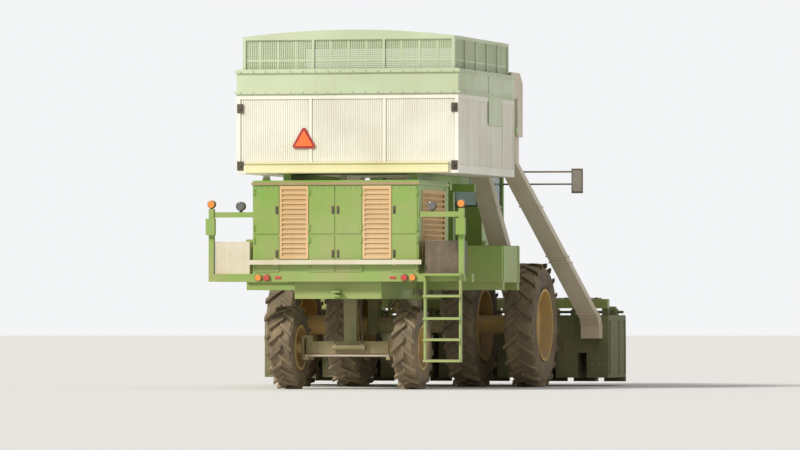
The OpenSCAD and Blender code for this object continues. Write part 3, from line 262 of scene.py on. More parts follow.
def finish_of(name, colour, dust=0.5, rough=0.42, metallic=0.0, chips=0.3, fade=0.35, grain=90.0,
              bump=0.06, coat=0.0, patch=1.6, dust_colour=FIELD_DUST):
    """A finish of the machine: its paint or metal, worn and dusty, with its own grain."""
    material, tree, shader = new_material(name)
    worn = use_group(tree, worn_paint, Paint=(*colour, 1), Chips=chips, Fade=fade)
    dusty = use_group(tree, field_dust, Paint=worn.outputs["Color"], Amount=dust, Roughness=rough,
                      Patch_Scale=patch, Dust=(*dust_colour, 1))
    texture = use_group(tree, fine_grain, Scale=grain)
    height = math_node(tree, "ADD", texture.outputs[0], worn.outputs["Height"])
    relief = put(tree, "ShaderNodeBump", Strength=bump, Distance=0.01, Height=height)
    tree.links.new(dusty.outputs["Color"], shader.inputs["Base Color"])
    tree.links.new(dusty.outputs["Roughness"], shader.inputs["Roughness"])
    tree.links.new(relief.outputs[0], shader.inputs["Normal"])
    if metallic:
        bare = math_node(tree, "SUBTRACT", 1.0, dusty.outputs["Mask"])
        tree.links.new(math_node(tree, "MULTIPLY", bare, metallic), shader.inputs["Metallic"])
    shader.inputs["Coat Weight"].default_value = coat
    material.diffuse_color = (*colour, 1)
    return material


def glass_finish():
    """Tinted glass with a film of dust."""
    material, tree, shader = new_material("tinted_glass")
    dusty = use_group(tree, field_dust, Paint=(*GLASS_TINT, 1), Amount=0.22, Roughness=0.08,
                      Patch_Scale=2.0)
    tree.links.new(dusty.outputs["Color"], shader.inputs["Base Color"])
    tree.links.new(dusty.outputs["Roughness"], shader.inputs["Roughness"])
    shader.inputs["Transmission Weight"].default_value = 0.9
    shader.inputs["IOR"].default_value = 1.2
    return material


green = finish_of("dusty_green_paint", HARVEST_GREEN, dust=0.45, coat=0.15)
# The row units' paint and dust are darkened as painted shade, besides their grime
shaded_grimy_green = finish_of("shaded_grimy_header_paint", SHADED_GRIMY_GREEN, dust=0.45, rough=0.6,
                        dust_colour=SHADED_HEADER_DUST)
axle_green = finish_of("oily_axle_paint", AXLE_GREEN, dust=0.8, rough=0.5)
sage = finish_of("sun_faded_top", SAGE, dust=0.22, fade=0.5, chips=0.2)
cream = finish_of("basket_cream_paint", BASKET_CREAM, dust=0.22, rough=0.5, chips=0.25)
duct_tan = finish_of("duct_paint", DUCT_TAN, dust=0.45, rough=0.5)
wheel_yellow = finish_of("wheel_paint", WHEEL_YELLOW, dust=0.75, rough=0.45)
tyre = finish_of("dusty_tyre", TYRE_BLACK, dust=0.42, rough=0.75, chips=0.0, fade=0.2, grain=60.0,
                 bump=0.12, patch=3.0)
tank_cream = finish_of("moulded_tank", TANK_CREAM, dust=0.5, rough=0.5, chips=0.0, fade=0.1)
black = finish_of("satin_black", SATIN_BLACK, dust=0.45, rough=0.45, chips=0.1)
steel = finish_of("worn_steel", STEEL_GREY, dust=0.45, rough=0.35, metallic=0.9, grain=160.0)
chrome = finish_of("rod_chrome", CHROME_GREY, dust=0.12, rough=0.08, metallic=1.0, chips=0.0,
                   bump=0.01)
casting = finish_of("engine_casting", CASTING_GREEN, dust=0.6, rough=0.6, grain=40.0, bump=0.2)
dusty_screen = finish_of("clogged_screen", SCREEN_DUST, dust=0.4, rough=0.8)
rail_yellow = finish_of("pale_rail_paint", RAIL_YELLOW, dust=0.15)
cylinder_yellow = finish_of("cylinder_paint", CYLINDER_YELLOW, dust=0.4)
lint = finish_of("caked_lint", LINT_TAN, dust=0.4, rough=0.95, chips=0.0, grain=30.0, bump=0.4,
                 patch=6.0)
# The lip's finish: painted shade along the roof's rear edge, with dust
shaded_sill_tan = finish_of("shaded_dusty_sill", SHADED_SILL_TAN, dust=0.6, rough=0.8)
hose_rubber = finish_of("hose_rubber", HOSE_BLACK, dust=0.3, rough=0.6, chips=0.0)
mirror_face = finish_of("mirror_face", MIRROR_SILVER, dust=0.1, rough=0.04, metallic=1.0, chips=0.0,
                        fade=0.0, bump=0.0)
seat_cloth = finish_of("seat_trim", CLOTH_BLACK, dust=0.25, rough=0.8, chips=0.0, grain=300.0,
                       bump=0.2)
glass = glass_finish()
amber = finish_of("amber_lens", LAMP_AMBER, dust=0.15, rough=0.15, chips=0.0, fade=0.0, grain=200.0,
                  coat=0.5)
triangle_orange = finish_of("triangle_orange_film", TRIANGLE_ORANGE, dust=0.25, rough=0.5,
                            chips=0.0, fade=0.1)
triangle_red = finish_of("triangle_red_film", TRIANGLE_RED, dust=0.25, rough=0.35, chips=0.0,
                         fade=0.1)
lens_clear = finish_of("lamp_lens", LAMP_CLEAR, dust=0.2, rough=0.12, chips=0.0, fade=0.0, coat=0.6)
lens_dark = finish_of("work_lamp_lens", LAMP_DARK, dust=0.2, rough=0.08, chips=0.0, fade=0.0,
                      coat=0.8)
lens_red = finish_of("red_lens", LAMP_RED, dust=0.2, rough=0.18, chips=0.0, fade=0.0, coat=0.5)

NODE_FINISHES = [
    (green, "main_frame cross_members outriggers wing_posts engine_cover service_ladder "
            "basket_cradle duct_mast fan_housing cab_shell cab_roof cab_door platform lift_arms "
            "header_beam side_tanks"),
    (shaded_grimy_green, "row_unit_1 row_unit_2 row_unit_3 row_unit_4 row_unit_5 row_unit_6"),
    (axle_green, "drive_axle rear_axle knuckle_left knuckle_right"),
    (steel, "tie_rod picker_drums"),
    (tyre, "drive_tyres_left drive_tyres_right steer_tyre_left steer_tyre_right"),
    (wheel_yellow, "drive_rims_left drive_rims_right steer_rim_left steer_rim_right"),
    (casting, "engine"),
    (dusty_screen, "rear_screens"),
    (black, "rear_box mirrors tail_lamps"),
    (tank_cream, "wash_tank rear_bar"),
    (duct_tan, "duct_heads lower_ducts"),
    (glass, "cab_glass door_glass"),
    (seat_cloth, "driver_station"),
    (cream, "basket_body basket_screens basket_door"),
    (sage, "basket_rim top_section top_screens"),
    (rail_yellow, "basket_rail"),
    (cylinder_yellow, "dump_barrels lift_barrels"),
    (chrome, "dump_rods lift_rods"),
]


def dress_nodes():
    """Gives each solid its finish."""
    for material, names in NODE_FINISHES:
        for name in names.split():
            nodes[name].data.materials.clear()
            nodes[name].data.materials.append(material)


# Geometry node trees


def new_tree(name, *inputs):
    """An empty geometry tree with these inputs and a material."""
    sockets = [*inputs, ("Material", "Material", None)]
    return new_group("GeometryNodeTree", name, sockets, [("Geometry", "Geometry")])


def close_tree(tree, given, result, geometry):
    """Ends a tree with its instances made real and its material set."""
    real = put(tree, "GeometryNodeRealizeInstances", i0=geometry)
    painted = put(tree, "GeometryNodeSetMaterial", i0=real.outputs[0], Material=given["Material"])
    tree.links.new(painted.outputs[0], result[0])
    return tree


def vector(tree, x=0.0, y=0.0, z=0.0):
    """A vector out of three numbers or outputs."""
    return put(tree, "ShaderNodeCombineXYZ", X=x, Y=y, Z=z).outputs[0]


def on_points(tree, points, piece, **values):
    """The piece on each of the points."""
    return put(tree, "GeometryNodeInstanceOnPoints", Points=points, Instance=piece,
               **values).outputs[0]


def line_of(tree, count, start, step, piece):
    """The piece repeated along a line."""
    line = put(tree, "GeometryNodeMeshLine", {"mode": "OFFSET"}, Count=count, Start_Location=start,
               Offset=step)
    return on_points(tree, line.outputs[0], piece)


def bar_of(tree, x, y, z):
    """A square bar of this size, centred."""
    return put(tree, "GeometryNodeMeshCube", Size=vector(tree, x, y, z)).outputs[0]


def hexagon_head(tree, given):
    """One bolt head, standing along Z."""
    return put(tree, "GeometryNodeMeshCylinder", Vertices=6, Radius=given["Head"],
               Depth=given["Height"]).outputs[0]


def mesh_panel_tree():
    """A panel of crossed bars, centred, Width along X and Height along Z."""
    tree, given, result = new_tree("mesh_panel", ("Width", "Float", 1.0), ("Height", "Float", 1.0),
                                   ("Uprights", "Int", 20), ("Levels", "Int", 20),
                                   ("Bar", "Float", 0.008))
    width, height, bar = given["Width"], given["Height"], given["Bar"]
    depth = math_node(tree, "MULTIPLY", bar, 0.5)
    upright, level = bar_of(tree, bar, depth, height), bar_of(tree, width, depth, bar)
    step_x = math_node(tree, "DIVIDE", width, math_node(tree, "ADD", given["Uprights"], 1.0))
    step_z = math_node(tree, "DIVIDE", height, math_node(tree, "ADD", given["Levels"], 1.0))
    first_x = math_node(tree, "ADD", math_node(tree, "MULTIPLY", width, -0.5), step_x)
    first_z = math_node(tree, "ADD", math_node(tree, "MULTIPLY", height, -0.5), step_z)
    uprights = line_of(tree, given["Uprights"], vector(tree, first_x, depth), vector(tree, step_x),
                       upright)
    levels = line_of(tree, given["Levels"], vector(tree, z=first_z), vector(tree, z=step_z), level)
    join = tree.nodes.new("GeometryNodeJoinGeometry")
    for part in (uprights, levels):
        tree.links.new(part, join.inputs[0])
    return close_tree(tree, given, result, join.outputs[0])


def bolt_ring_tree():
    """Hexagonal heads on a circle round Z."""
    tree, given, result = new_tree("bolt_ring", ("Count", "Int", 8), ("Radius", "Float", 0.1),
                                   ("Head", "Float", 0.015), ("Height", "Float", 0.02))
    ring = put(tree, "GeometryNodeMeshCircle", Vertices=given["Count"], Radius=given["Radius"])
    heads = on_points(tree, ring.outputs[0], hexagon_head(tree, given))
    return close_tree(tree, given, result, heads)


def bolt_line_tree():
    """Hexagonal heads standing along Z, in a row along X that starts at the origin."""
    tree, given, result = new_tree("bolt_line", ("Count", "Int", 8), ("Pitch", "Float", 0.1),
                                   ("Head", "Float", 0.01), ("Height", "Float", 0.012))
    step, head = vector(tree, given["Pitch"]), hexagon_head(tree, given)
    return close_tree(tree, given, result, line_of(tree, given["Count"], vector(tree), step, head))


def spindle_drum_tree():
    """Tapered spindles pointing outwards from a circle round Z, one column for each picker bar."""
    tree, given, result = new_tree("spindle_drum", ("Bars", "Int", 12), ("Spindles", "Int", 14),
                                   ("Radius", "Float", 0.1), ("Height", "Float", 0.8),
                                   ("Reach", "Float", 0.02))
    spindle = put(tree, "GeometryNodeMeshCone", Vertices=6, Radius_Top=0.002, Radius_Bottom=0.006,
                  Depth=given["Reach"]).outputs[0]
    laid = put(tree, "GeometryNodeTransform", i0=spindle, Rotation=(0.0, QUARTER, 0.0)).outputs[0]
    step = math_node(tree, "DIVIDE", given["Height"], given["Spindles"])
    column = line_of(tree, given["Spindles"], vector(tree, 0.008, 0.0, step), vector(tree, z=step),
                     laid)
    ring = put(tree, "GeometryNodeMeshCircle", Vertices=given["Bars"], Radius=given["Radius"])
    place = put(tree, "GeometryNodeInputPosition").outputs[0]
    split = put(tree, "ShaderNodeSeparateXYZ", i0=place).outputs
    turn = math_node(tree, "ARCTAN2", split[1], split[0])
    columns = on_points(tree, ring.outputs[0], column, Rotation=vector(tree, z=turn))
    return close_tree(tree, given, result, columns)


mesh_panel = mesh_panel_tree()
bolt_ring = bolt_ring_tree()
bolt_line = bolt_line_tree()
spindle_drum = spindle_drum_tree()


def evaluated_mesh(holder):
    """The plain mesh of an object as its modifiers or its curve make it. The object goes."""
    seen = holder.evaluated_get(bpy.context.evaluated_depsgraph_get())
    mesh = bpy.data.meshes.new_from_object(seen)
    bpy.data.objects.remove(holder)
    return mesh


def grown_mesh(tree, place, **values):
    """The tree's result with these inputs, as a plain mesh moved to its place."""
    holder = bpy.data.objects.new("grown", bpy.data.meshes.new("grown"))
    scene.collection.objects.link(holder)
    modifier = holder.modifiers.new("grow", "NODES")
    modifier.node_group = tree
    for item in tree.interface.items_tree:
        if item.in_out == "INPUT" and item.name in values:
            modifier[item.identifier] = values[item.name]
    holder.update_tag()
    mesh = evaluated_mesh(holder)
    mesh.transform(place)
    return mesh


# Pieces


def link(name, mesh, body, material):
    """Puts a finished mesh in the scene, riding on its body."""
    mesh.name = name
    mesh.materials.clear()
    mesh.materials.append(material)
    piece = bpy.data.objects.new(name, mesh)
    scene.collection.objects.link(piece)
    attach(piece, body)
    return piece


def mesh_of(shape, name):
    """Ends a shape as a plain mesh."""
    mesh = bpy.data.meshes.new(name)
    shape.to_mesh(mesh)
    shape.free()
    return mesh


def merged(meshes):
    """One mesh out of several that share a material."""
    whole = bmesh.new()
    for mesh in meshes:
        whole.from_mesh(mesh)
    return mesh_of(whole, "merged")


def break_edges(shape, edges, width):
    """Rounds some edges of a shape a little."""
    bmesh.ops.bevel(shape, geom=edges, offset=width, segments=2, profile=0.5, affect="EDGES")


def block(low, high, bevel=0.004):
    """A box between two corners, with its edges broken."""
    shape = bmesh.new()
    bmesh.ops.create_cube(shape, size=1.0)
    low, high = Vector(low), Vector(high)
    size = high - low
    bmesh.ops.scale(shape, vec=size, verts=shape.verts)
    bmesh.ops.translate(shape, vec=(low + high) / 2, verts=shape.verts)
    if bevel and min(size) > 2.5 * bevel:
        break_edges(shape, shape.edges[:], bevel)
    return mesh_of(shape, "block")


def pad(x, z, half_x, half_z, near, far, bevel=0.004):
    """A block on a face that looks along Y, given by its middle, half sizes and end stations."""
    return block((x - half_x, near, z - half_z), (x + half_x, far, z + half_z), bevel)


def disc(centre, radius, depth, axis, sides=28, bevel=0.004):
    """A short round piece along an axis, with its rims broken."""
    shape = bmesh.new()
    bmesh.ops.create_cone(shape, cap_ends=True, segments=sides, radius1=radius, radius2=radius,
                          depth=depth)
    level = [edge for edge in shape.edges if abs(edge.verts[0].co.z - edge.verts[1].co.z) < 1e-6]
    break_edges(shape, [edge for edge in level if len(edge.link_faces) == 2], bevel)
    turn = Vector(axis).to_track_quat("Z", "Y").to_matrix().to_4x4()
    shape.transform(Matrix.Translation(centre) @ turn)
    return mesh_of(shape, "disc")


def tube(points, radius, smooth=True, sides=3):
    """A round bar or hose through points, with closed ends."""
    curve = bpy.data.curves.new("tube", "CURVE")
    curve.dimensions = "3D"
    curve.bevel_depth = radius
    curve.bevel_resolution = sides
    curve.use_fill_caps = True
    curve.resolution_u = 8
    line = curve.splines.new("BEZIER" if smooth else "POLY")
    spots = line.bezier_points if smooth else line.points
    spots.add(len(points) - 1)
    for spot, point in zip(spots, points):
        if smooth:
            spot.co = point
            spot.handle_left_type = spot.handle_right_type = "AUTO"
        else:
            spot.co = (*point, 1.0)
    holder = bpy.data.objects.new("tube", curve)
    scene.collection.objects.link(holder)
    return evaluated_mesh(holder)


def bolt_row(start, along, out, count, pitch, head=0.010, height=0.010):
    """Bolt heads from a point, pitch apart along one axis, standing out along another."""
    along, out = Vector(along), Vector(out)
    turn = Matrix((along, out.cross(along), out)).transposed().to_4x4()
    place = Matrix.Translation(Vector(start) + out * height * 0.4) @ turn
    return grown_mesh(bolt_line, place, Count=count, Pitch=pitch, Head=head, Height=height,
                      Material=steel)


def woven(place, width, height, pitch_x, pitch_z, bar, material):
    """One panel of crossed bars, moved to its place."""
    return grown_mesh(mesh_panel, place, Width=width, Height=height, Bar=bar, Material=material,
                      Uprights=round(width / pitch_x), Levels=round(height / pitch_z))


def upright_panels(panels, bar, material):
    """Upright panels of the basket's mesh, each given as (centre, width, height, turn round Z)."""
    meshes = []
    for centre, width, height, turn in panels:
        place = Matrix.Translation(centre) @ Matrix.Rotation(turn, 4, "Z")
        meshes.append(woven(place, width, height, MESH_PITCH, MESH_PITCH, bar, material))
    return meshes


def bays(start, end, posts, half):
    """The clear stretches between posts of a half width, from start to end."""
    edges = [start] + [e for p in posts for e in (p - half, p + half)] + [end]
    return [(edges[i], edges[i + 1]) for i in range(0, len(edges), 2)]


def shares(low, high, count):
    """The stations that part a span into equal stretches."""
    return [low + (high - low) * i / count for i in range(1, count)]


def weave_basket():
    """The mesh between the posts of the basket's lower body, in place of its plain sheets."""
    low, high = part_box("basket_body")
    door_low, door_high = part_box("basket_door")
    post, rib, jamb, rim = 0.060, 0.025, 0.030, 0.060
    floor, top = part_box("basket_screens")[0].z, high.z - rim
    side, height, middle = BASKET_HALF - post / 2, top - floor, (top + floor) / 2
    start, end, stations = low.y + post, high.y - post, shares(low.y, high.y, 5)
    across = bays(post - BASKET_HALF, BASKET_HALF - post, shares(-BASKET_HALF, BASKET_HALF, 3), rib)
    panels = []
    for face in (low.y + post / 2, high.y - post / 2):
        for a, b in across:
            panels.append((((a + b) / 2, face, middle), b - a, height, 0.0))
    for a, b in bays(start, end, stations, rib):
        panels.append(((-side, (a + b) / 2, middle), b - a, height, QUARTER))
    sill, sill_middle = door_low.z - floor, (floor + door_low.z) / 2
    for a, b in bays(door_low.y + jamb, door_high.y - jamb, stations, rib):
        if b > a:
            panels.append(((side, (a + b) / 2, sill_middle), b - a, sill, QUARTER))
    for a, b in ((start, door_low.y - jamb), (door_high.y + jamb, end)):
        panels.append(((side, (a + b) / 2, middle), b - a, height, QUARTER))
    weave = merged(upright_panels(panels, LOWER_BAR, cream))
    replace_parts(link("basket_weave", weave, "basket", cream), "basket_screens")


def weave_top():
    """The mesh inside the walls and under the crowned roof of the telescoping top."""
    low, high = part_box("top_section")
    post, rib, inset, roof_bar, wall_bar = 0.050, 0.020, 0.012, 0.014, 0.017
    rise, half, length = high.z - ROOF_EDGE, high.x, high.y - low.y - 0.24
    strips = (-0.86, -0.58), (-0.58, -0.30), (-0.28, 0.0), (0.0, 0.28), (0.30, 0.58), (0.58, 0.86)
    meshes = []
    for a, b in strips:
        za, zb = (ROOF_EDGE + rise * (1 - k * k) - roof_bar - inset for k in (a, b))
        width = math.hypot((b - a) * half, zb - za)
        lean = math.atan2(zb - za, (b - a) * half)
        place = Matrix.Translation(((a + b) / 2 * half, (low.y + high.y) / 2, (za + zb) / 2))
        place = place @ Matrix.Rotation(-lean, 4, "Y") @ Matrix.Rotation(QUARTER, 4, "X")
        meshes.append(woven(place, width, length, MESH_PITCH, MESH_PITCH, roof_bar, sage))
    side, rear = high.x - post / 2 - inset, high.y - post / 2 - inset
    base, lid = low.z + post, ROOF_EDGE - post
    height, middle = lid - base, (lid + base) / 2
    panels = [(((a + b) / 2, rear, middle), b - a, height, 0.0)
              for a, b in bays(low.x + post, high.x - post, shares(low.x, high.x, 3), rib)]
    for x in (-side, side):
        for a, b in bays(low.y + post, high.y - post, shares(low.y, high.y, 5), rib):
            panels.append(((x, (a + b) / 2, middle), b - a, height, QUARTER))
    meshes += upright_panels(panels, wall_bar, sage)
    link("top_weave", merged(meshes), "basket_top", sage)


def weave_door():
    """The mesh between the ribs of the unloading door."""
    low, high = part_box("basket_door")
    edge, rib, hem = 0.050, 0.015, 0.052
    base, top = low.z + hem + edge, high.z - edge
    x = (high.x + DOOR_INNER) / 2
    panels = [((x, (a + b) / 2, (base + top) / 2), b - a, top - base, QUARTER)
              for a, b in bays(low.y + edge, high.y - edge, shares(low.y, high.y, 9), rib)]
    weave = merged(upright_panels(panels, LOWER_BAR, cream))
    link("door_weave", weave, "unloading_door", cream)


def nut_ring(rim, x, count, radius, head, height):
    """Nuts on a circle round the middle of a wheel's rim, at x across the machine."""
    low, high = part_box(rim)
    middle = Matrix.Translation((x, (low.y + high.y) / 2, (low.z + high.z) / 2))
    place = middle @ Matrix.Rotation(QUARTER, 4, "Y")
    return grown_mesh(bolt_ring, place, Count=count, Radius=radius, Head=head, Height=height,
                      Material=steel)


def wheel_nuts():
    """Rings of nuts on the discs of the drive wheels and the steered wheels."""
    drive_disc, steer_disc = 2 * ROW_PITCH + 0.060, ROW_PITCH + 0.035
    for side, name in ((1, "left"), (-1, "right")):
        rim, x = f"drive_rims_{name}", side * drive_disc
        rings = [nut_ring(rim, x, 12, 0.200, 0.016, 0.030),
                 nut_ring(rim, x, 8, 0.480, 0.013, 0.026)]
        link(f"drive_nuts_{name}", merged(rings), f"drive_wheel_{name}", steel)
        ring = nut_ring(f"steer_rim_{name}", side * steer_disc, 10, 0.130, 0.012, 0.024)
        link(f"steer_nuts_{name}", ring, f"steer_wheel_{name}", steel)


def slow_vehicle_triangle():
    """A blank orange triangle with a dark red border, on the basket's rear, left of the middle."""
    centre = Vector((0.68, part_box("basket_body")[1].y + 0.012, 3.80))

    def plate(size, cut, y, depth):
        """A triangle with its corners cut off, grown along Y."""
        shape = bmesh.new()
        turns = [QUARTER + i * 2 * math.pi / 3 for i in range(3)]
        corners = [Vector((size * math.cos(turn), 0, size * math.sin(turn))) for turn in turns]
        points = []
        for i, corner in enumerate(corners):
            for other in (corners[i - 1], corners[(i + 1) % 3]):
                points.append(corner + (other - corner).normalized() * cut)
        face = shape.faces.new([shape.verts.new(centre + p + Vector((0, y, 0))) for p in points])
        grown = bmesh.ops.extrude_face_region(shape, geom=[face])["geom"]
        moved = [part for part in grown if isinstance(part, bmesh.types.BMVert)]
        bmesh.ops.translate(shape, vec=(0, depth, 0), verts=moved)
        bmesh.ops.recalc_face_normals(shape, faces=shape.faces)
        return mesh_of(shape, "plate")

    link("triangle_border", plate(0.235, 0.045, -0.012, 0.008), "basket", triangle_red)
    link("triangle_face", plate(0.165, 0.012, -0.004, 0.003), "basket", triangle_orange)


def row_middle(row):
    """Where a row runs, counted from 0 at the right."""
    return (row - (ROWS - 1) / 2) * ROW_PITCH


def fill_drums():
    """Spindles on the picker bars of each drum, one mesh for the header."""
    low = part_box("picker_drums")[0]
    meshes = []
    for row in range(ROWS):
        for side, station in ((1, -2.300), (-1, -1.880)):
            foot = (row_middle(row) + side * 0.235, station + AXLE_Y, low.z + 0.12)
            meshes.append(grown_mesh(spindle_drum, Matrix.Translation(foot), Bars=12, Spindles=14,
                                     Radius=0.110, Height=0.62, Reach=0.020, Material=steel))
    link("picker_spindles", merged(meshes), "header", steel)


def cover_trim():
    """Hinges, latches and bolts of the engine cover's rear panels."""
    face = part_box("engine_cover")[1].y - 0.010
    hinges, latches, bolts = [], [], []
    for hinge_x, latch_x in ((-0.410, -0.041), (0.410, 0.041), (-1.275, -0.921), (1.275, 0.921)):
        for z in (1.86, 2.27, 2.46, 3.00):
            hinges.append(pad(hinge_x, z, 0.022, 0.045, face - 0.002, face + 0.010, 0.003))
            hinges.append(disc((hinge_x, face + 0.010, z), 0.008, 0.090, Z, sides=12, bevel=0.002))
        for z in (2.065, 2.73):
            latches.append(pad(latch_x, z, 0.020, 0.060, face - 0.002, face + 0.008))
            latches.append(pad(latch_x, z, 0.008, 0.045, face + 0.006, face + 0.020))
    for x in (-1.255, -0.405, 0.025, 0.895):
        for z in (1.815, 3.068):
            bolts.append(bolt_row((x, face, z), X, Y, 5, 0.088))
    link("cover_hinges", merged(hinges), "chassis", green)
    link("cover_latches", merged(latches), "chassis", black)
    link("cover_bolts", merged(bolts), "chassis", steel)


def clogged_screens():
    """Mesh caked with lint behind the slats of each screen, and painted shade with dust along the
    roof's rear lip.
    """
    low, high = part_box("engine_cover")
    rear, side, foot = high.y - 0.020, 1.300, 1.995
    sheets = [block((x - 0.215, rear - 0.012, foot), (x + 0.215, rear - 0.004, 3.085), 0.0)
              for x in (-0.65, 0.65)]
    for inner, outer in ((-side + 0.016, -side + 0.024), (side - 0.024, side - 0.016)):
        sheets.append(block((inner, low.y + 0.245, foot), (outer, rear - 0.245, 3.025), 0.0))
    link("screen_lint", merged(sheets), "chassis", lint)
    # A dark tan strip on the rear lip: painted shade under the basket's edge, with dust
    lip = pad(0.0, high.z - 0.050, side + 0.018, 0.019, high.y - 0.002, high.y + 0.003, 0.001)
    link("lip_shade_and_dust", lip, "chassis", shaded_sill_tan)


def rear_lamps():
    """Lamps and reflectors low on the outriggers, and the lenses of the lamps on the wing posts."""
    rear, post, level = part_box("outriggers")[1].y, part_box("tail_lamps")[1].y, 1.70
    shells, reds, ambers, darks = [], [], [], []
    for side in (-1, 1):
        for x, lenses in ((1.08, reds), (1.21, ambers)):
            shells.append(disc((side * x, rear + 0.014, level), 0.056, 0.030, Y))
            lenses.append(disc((side * x, rear + 0.034, level), 0.048, 0.012, Y))
        reds.append(pad(side * 0.90, level, 0.05, 0.02, rear - 0.002, rear + 0.008, 0.002))
        ambers.append(disc((side * 1.96, post + 0.002, 2.82), 0.054, 0.014, Y))
        darks.append(disc((side * 1.50, post + 0.002, 2.79), 0.062, 0.014, Y))
    link("rear_lamp_shells", merged(shells), "chassis", black)
    link("rear_lamp_reds", merged(reds), "chassis", lens_red)
    link("rear_lamp_ambers", merged(ambers), "chassis", amber)
    link("work_lamp_lenses", merged(darks), "chassis", lens_dark)


def cab_trim():
    """Roof lamp lenses, beacon, wiper, door handle and mirror faces."""
    low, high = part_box("cab_roof")
    lenses = [disc((x, low.y - 0.002, low.z + 0.038), 0.028, 0.008, (0, -1, 0), bevel=0.002)
              for x in (-0.72, -0.48, 0.48, 0.72)]
    link("roof_lamp_lenses", merged(lenses), "chassis", lens_clear)

    x, y = -0.60, high.y - 0.20
    base = merged([disc((x, y, high.z - 0.055), 0.055, 0.030, Z)])
    lens = disc((x, y, high.z - 0.020), 0.045, 0.050, Z, bevel=0.012)
    link("beacon_base", base, "chassis", black)
    link("beacon_lens", lens, "chassis", amber)

    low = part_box("cab_glass")[0]
    front, foot = low.y - 0.004, low.z
    arm = [(0.10, front - 0.02, foot + 0.05), (0.02, front - 0.03, foot + 0.35),
           (-0.05, front - 0.02, foot + 0.62)]
    blade = block((-0.06, front - 0.012, foot + 0.30), (-0.04, front - 0.002, foot + 0.95), 0.002)
    pivot = disc((0.10, front - 0.012, foot + 0.03), 0.030, 0.036, Y, sides=16)
    link("wiper", merged([tube(arm, 0.007), blade, pivot]), "chassis", black)

    low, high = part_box("cab_door")
    face, y, foot = high.x - 0.002, high.y - 0.10, low.z
    grip = [(face, y, foot + 0.48), (face + 0.032, y, foot + 0.50), (face + 0.032, y, foot + 0.62),
            (face, y, foot + 0.64)]
    lock = block((face, y - 0.03, foot + 0.40), (face + 0.010, y + 0.03, foot + 0.47))
    handle = [tube(grip, 0.008, smooth=False), lock]
    link("door_handle", merged(handle), "cab_door_leaf", black)

    low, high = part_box("mirrors")
    half, middle = (high.z - low.z) / 2 - 0.03, (low.z + high.z) / 2
    near, far, out = high.y - 0.035, high.y - 0.031, high.x - 0.090
    faces = [pad(side * out, middle, 0.075, half, near, far, 0.001) for side in (-1, 1)]
    link("mirror_faces", merged(faces), "chassis", mirror_face)


def basket_trim():
    """Edge fittings, lifting eyes, door latches and bolts of the basket."""
    low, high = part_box("basket_body")
    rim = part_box("basket_rim")[1]
    fittings, bolts, latches = [], [], []
    for side in (-1, 1):
        for z in (3.42, 4.30):
            fittings.append(pad(side * 1.69, z, 0.05, 0.07, high.y - 0.002, high.y + 0.012))
            fittings.append(disc((side * 1.69, high.y + 0.016, z), 0.022, 0.020, Y, sides=16))
    eye = (-0.05, -0.02), (-0.045, 0.03), (0.045, 0.03), (0.05, -0.02)
    for x in (-1.60, 1.60):
        for y in (low.y + 0.30, high.y - 0.30):
            fittings.append(tube([(x, y + reach, rim.z + rise) for reach, rise in eye], 0.010))
    for level in (rim.z - 0.36, rim.z - 0.04):
        bolts.append(bolt_row((-1.68, rim.y, level), X, Y, 18, 0.1976))
        for side in (-1, 1):
            start = (side * rim.x, low.y + 0.10, level)
            bolts.append(bolt_row(start, Y, (side, 0, 0), 18, 0.21))
    link("basket_fittings", merged(fittings), "basket", black)
    link("basket_bolts", merged(bolts), "basket", steel)
    low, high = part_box("basket_door")
    for y in (low.y + 0.5, (low.y + high.y) / 2, high.y - 0.5):
        x, z = high.x, high.z
        latches.append(block((x - 0.004, y - 0.03, z - 0.13), (x + 0.010, y + 0.03, z - 0.02)))
        latches.append(disc((x + 0.016, y, z - 0.07), 0.012, 0.080, Y, sides=14, bevel=0.003))
    link("door_latches", merged(latches), "unloading_door", steel)


def row_unit_trim():
    """Bolts and door latches on the rear of the six row units."""
    bolts, latches = [], []
    for number in range(1, ROWS + 1):
        low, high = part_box(f"row_unit_{number}")
        for side in (-1, 1):
            x, rear = (low.x + high.x) / 2 + side * 0.27, high.y - 0.002
            for z in (0.35, 0.95):
                bolts.append(bolt_row((x - 0.10, rear, z), X, Y, 3, 0.10))
            latches.append(pad(x, 0.65, 0.02, 0.05, rear + 0.001, rear + 0.017))
    link("unit_bolts", merged(bolts), "header", steel)
    link("unit_latches", merged(latches), "header", black)


def duct_trim():
    """Bolts across the front of the duct heads."""
    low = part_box("duct_heads")[0]
    bolts = []
    for x in (-1.5, -1.0, -0.33, 0.33, 1.0, 1.5):
        for z in (low.z + 0.05, low.z + 0.55):
            bolts.append(bolt_row((x - 0.15, low.y, z), X, (0, -1, 0), 4, 0.10))
    link("duct_head_bolts", merged(bolts), "chassis", steel)


def port_hose(foot, axis, aside, length, reach):
    """A hose from a cylinder's foot port along its barrel to the port at its gland."""
    foot, axis, aside = Vector(foot), Vector(axis).normalized(), Vector(aside).normalized()
    near, far = foot + axis * 0.16, foot + axis * (length - 0.05)
    port, bend = aside * reach * 0.9, aside * (reach + 0.045)
    along = [near + bend, near + bend + axis * 0.12, far + bend - axis * 0.10, far + bend]
    return tube([near + port, *along, far + port], 0.011)


def cylinder_hoses():
    """Hoses on the barrels of the lift and dump cylinders."""
    lift_axis, lift_aside = (0, -0.9623, 0.2721), (0, 0.2721, 0.9623)
    dump_axis, dump_aside = (0.1949, 0, 0.9808), (-0.9808, 0, 0.1949)
    lift = [port_hose((x, -1.150, 1.050), lift_axis, lift_aside, 1.02, 0.036)
            for x in (-0.535, 0.535)]
    dump = [port_hose((0.200, station + AXLE_Y, 1.740), dump_axis, dump_aside, 1.28, 0.060)
            for station in (1.56, 2.36)]
    link("lift_hoses", merged(lift), "lift_barrel_pair", hose_rubber)
    link("dump_hoses", merged(dump), "dump_barrel_pair", hose_rubber)


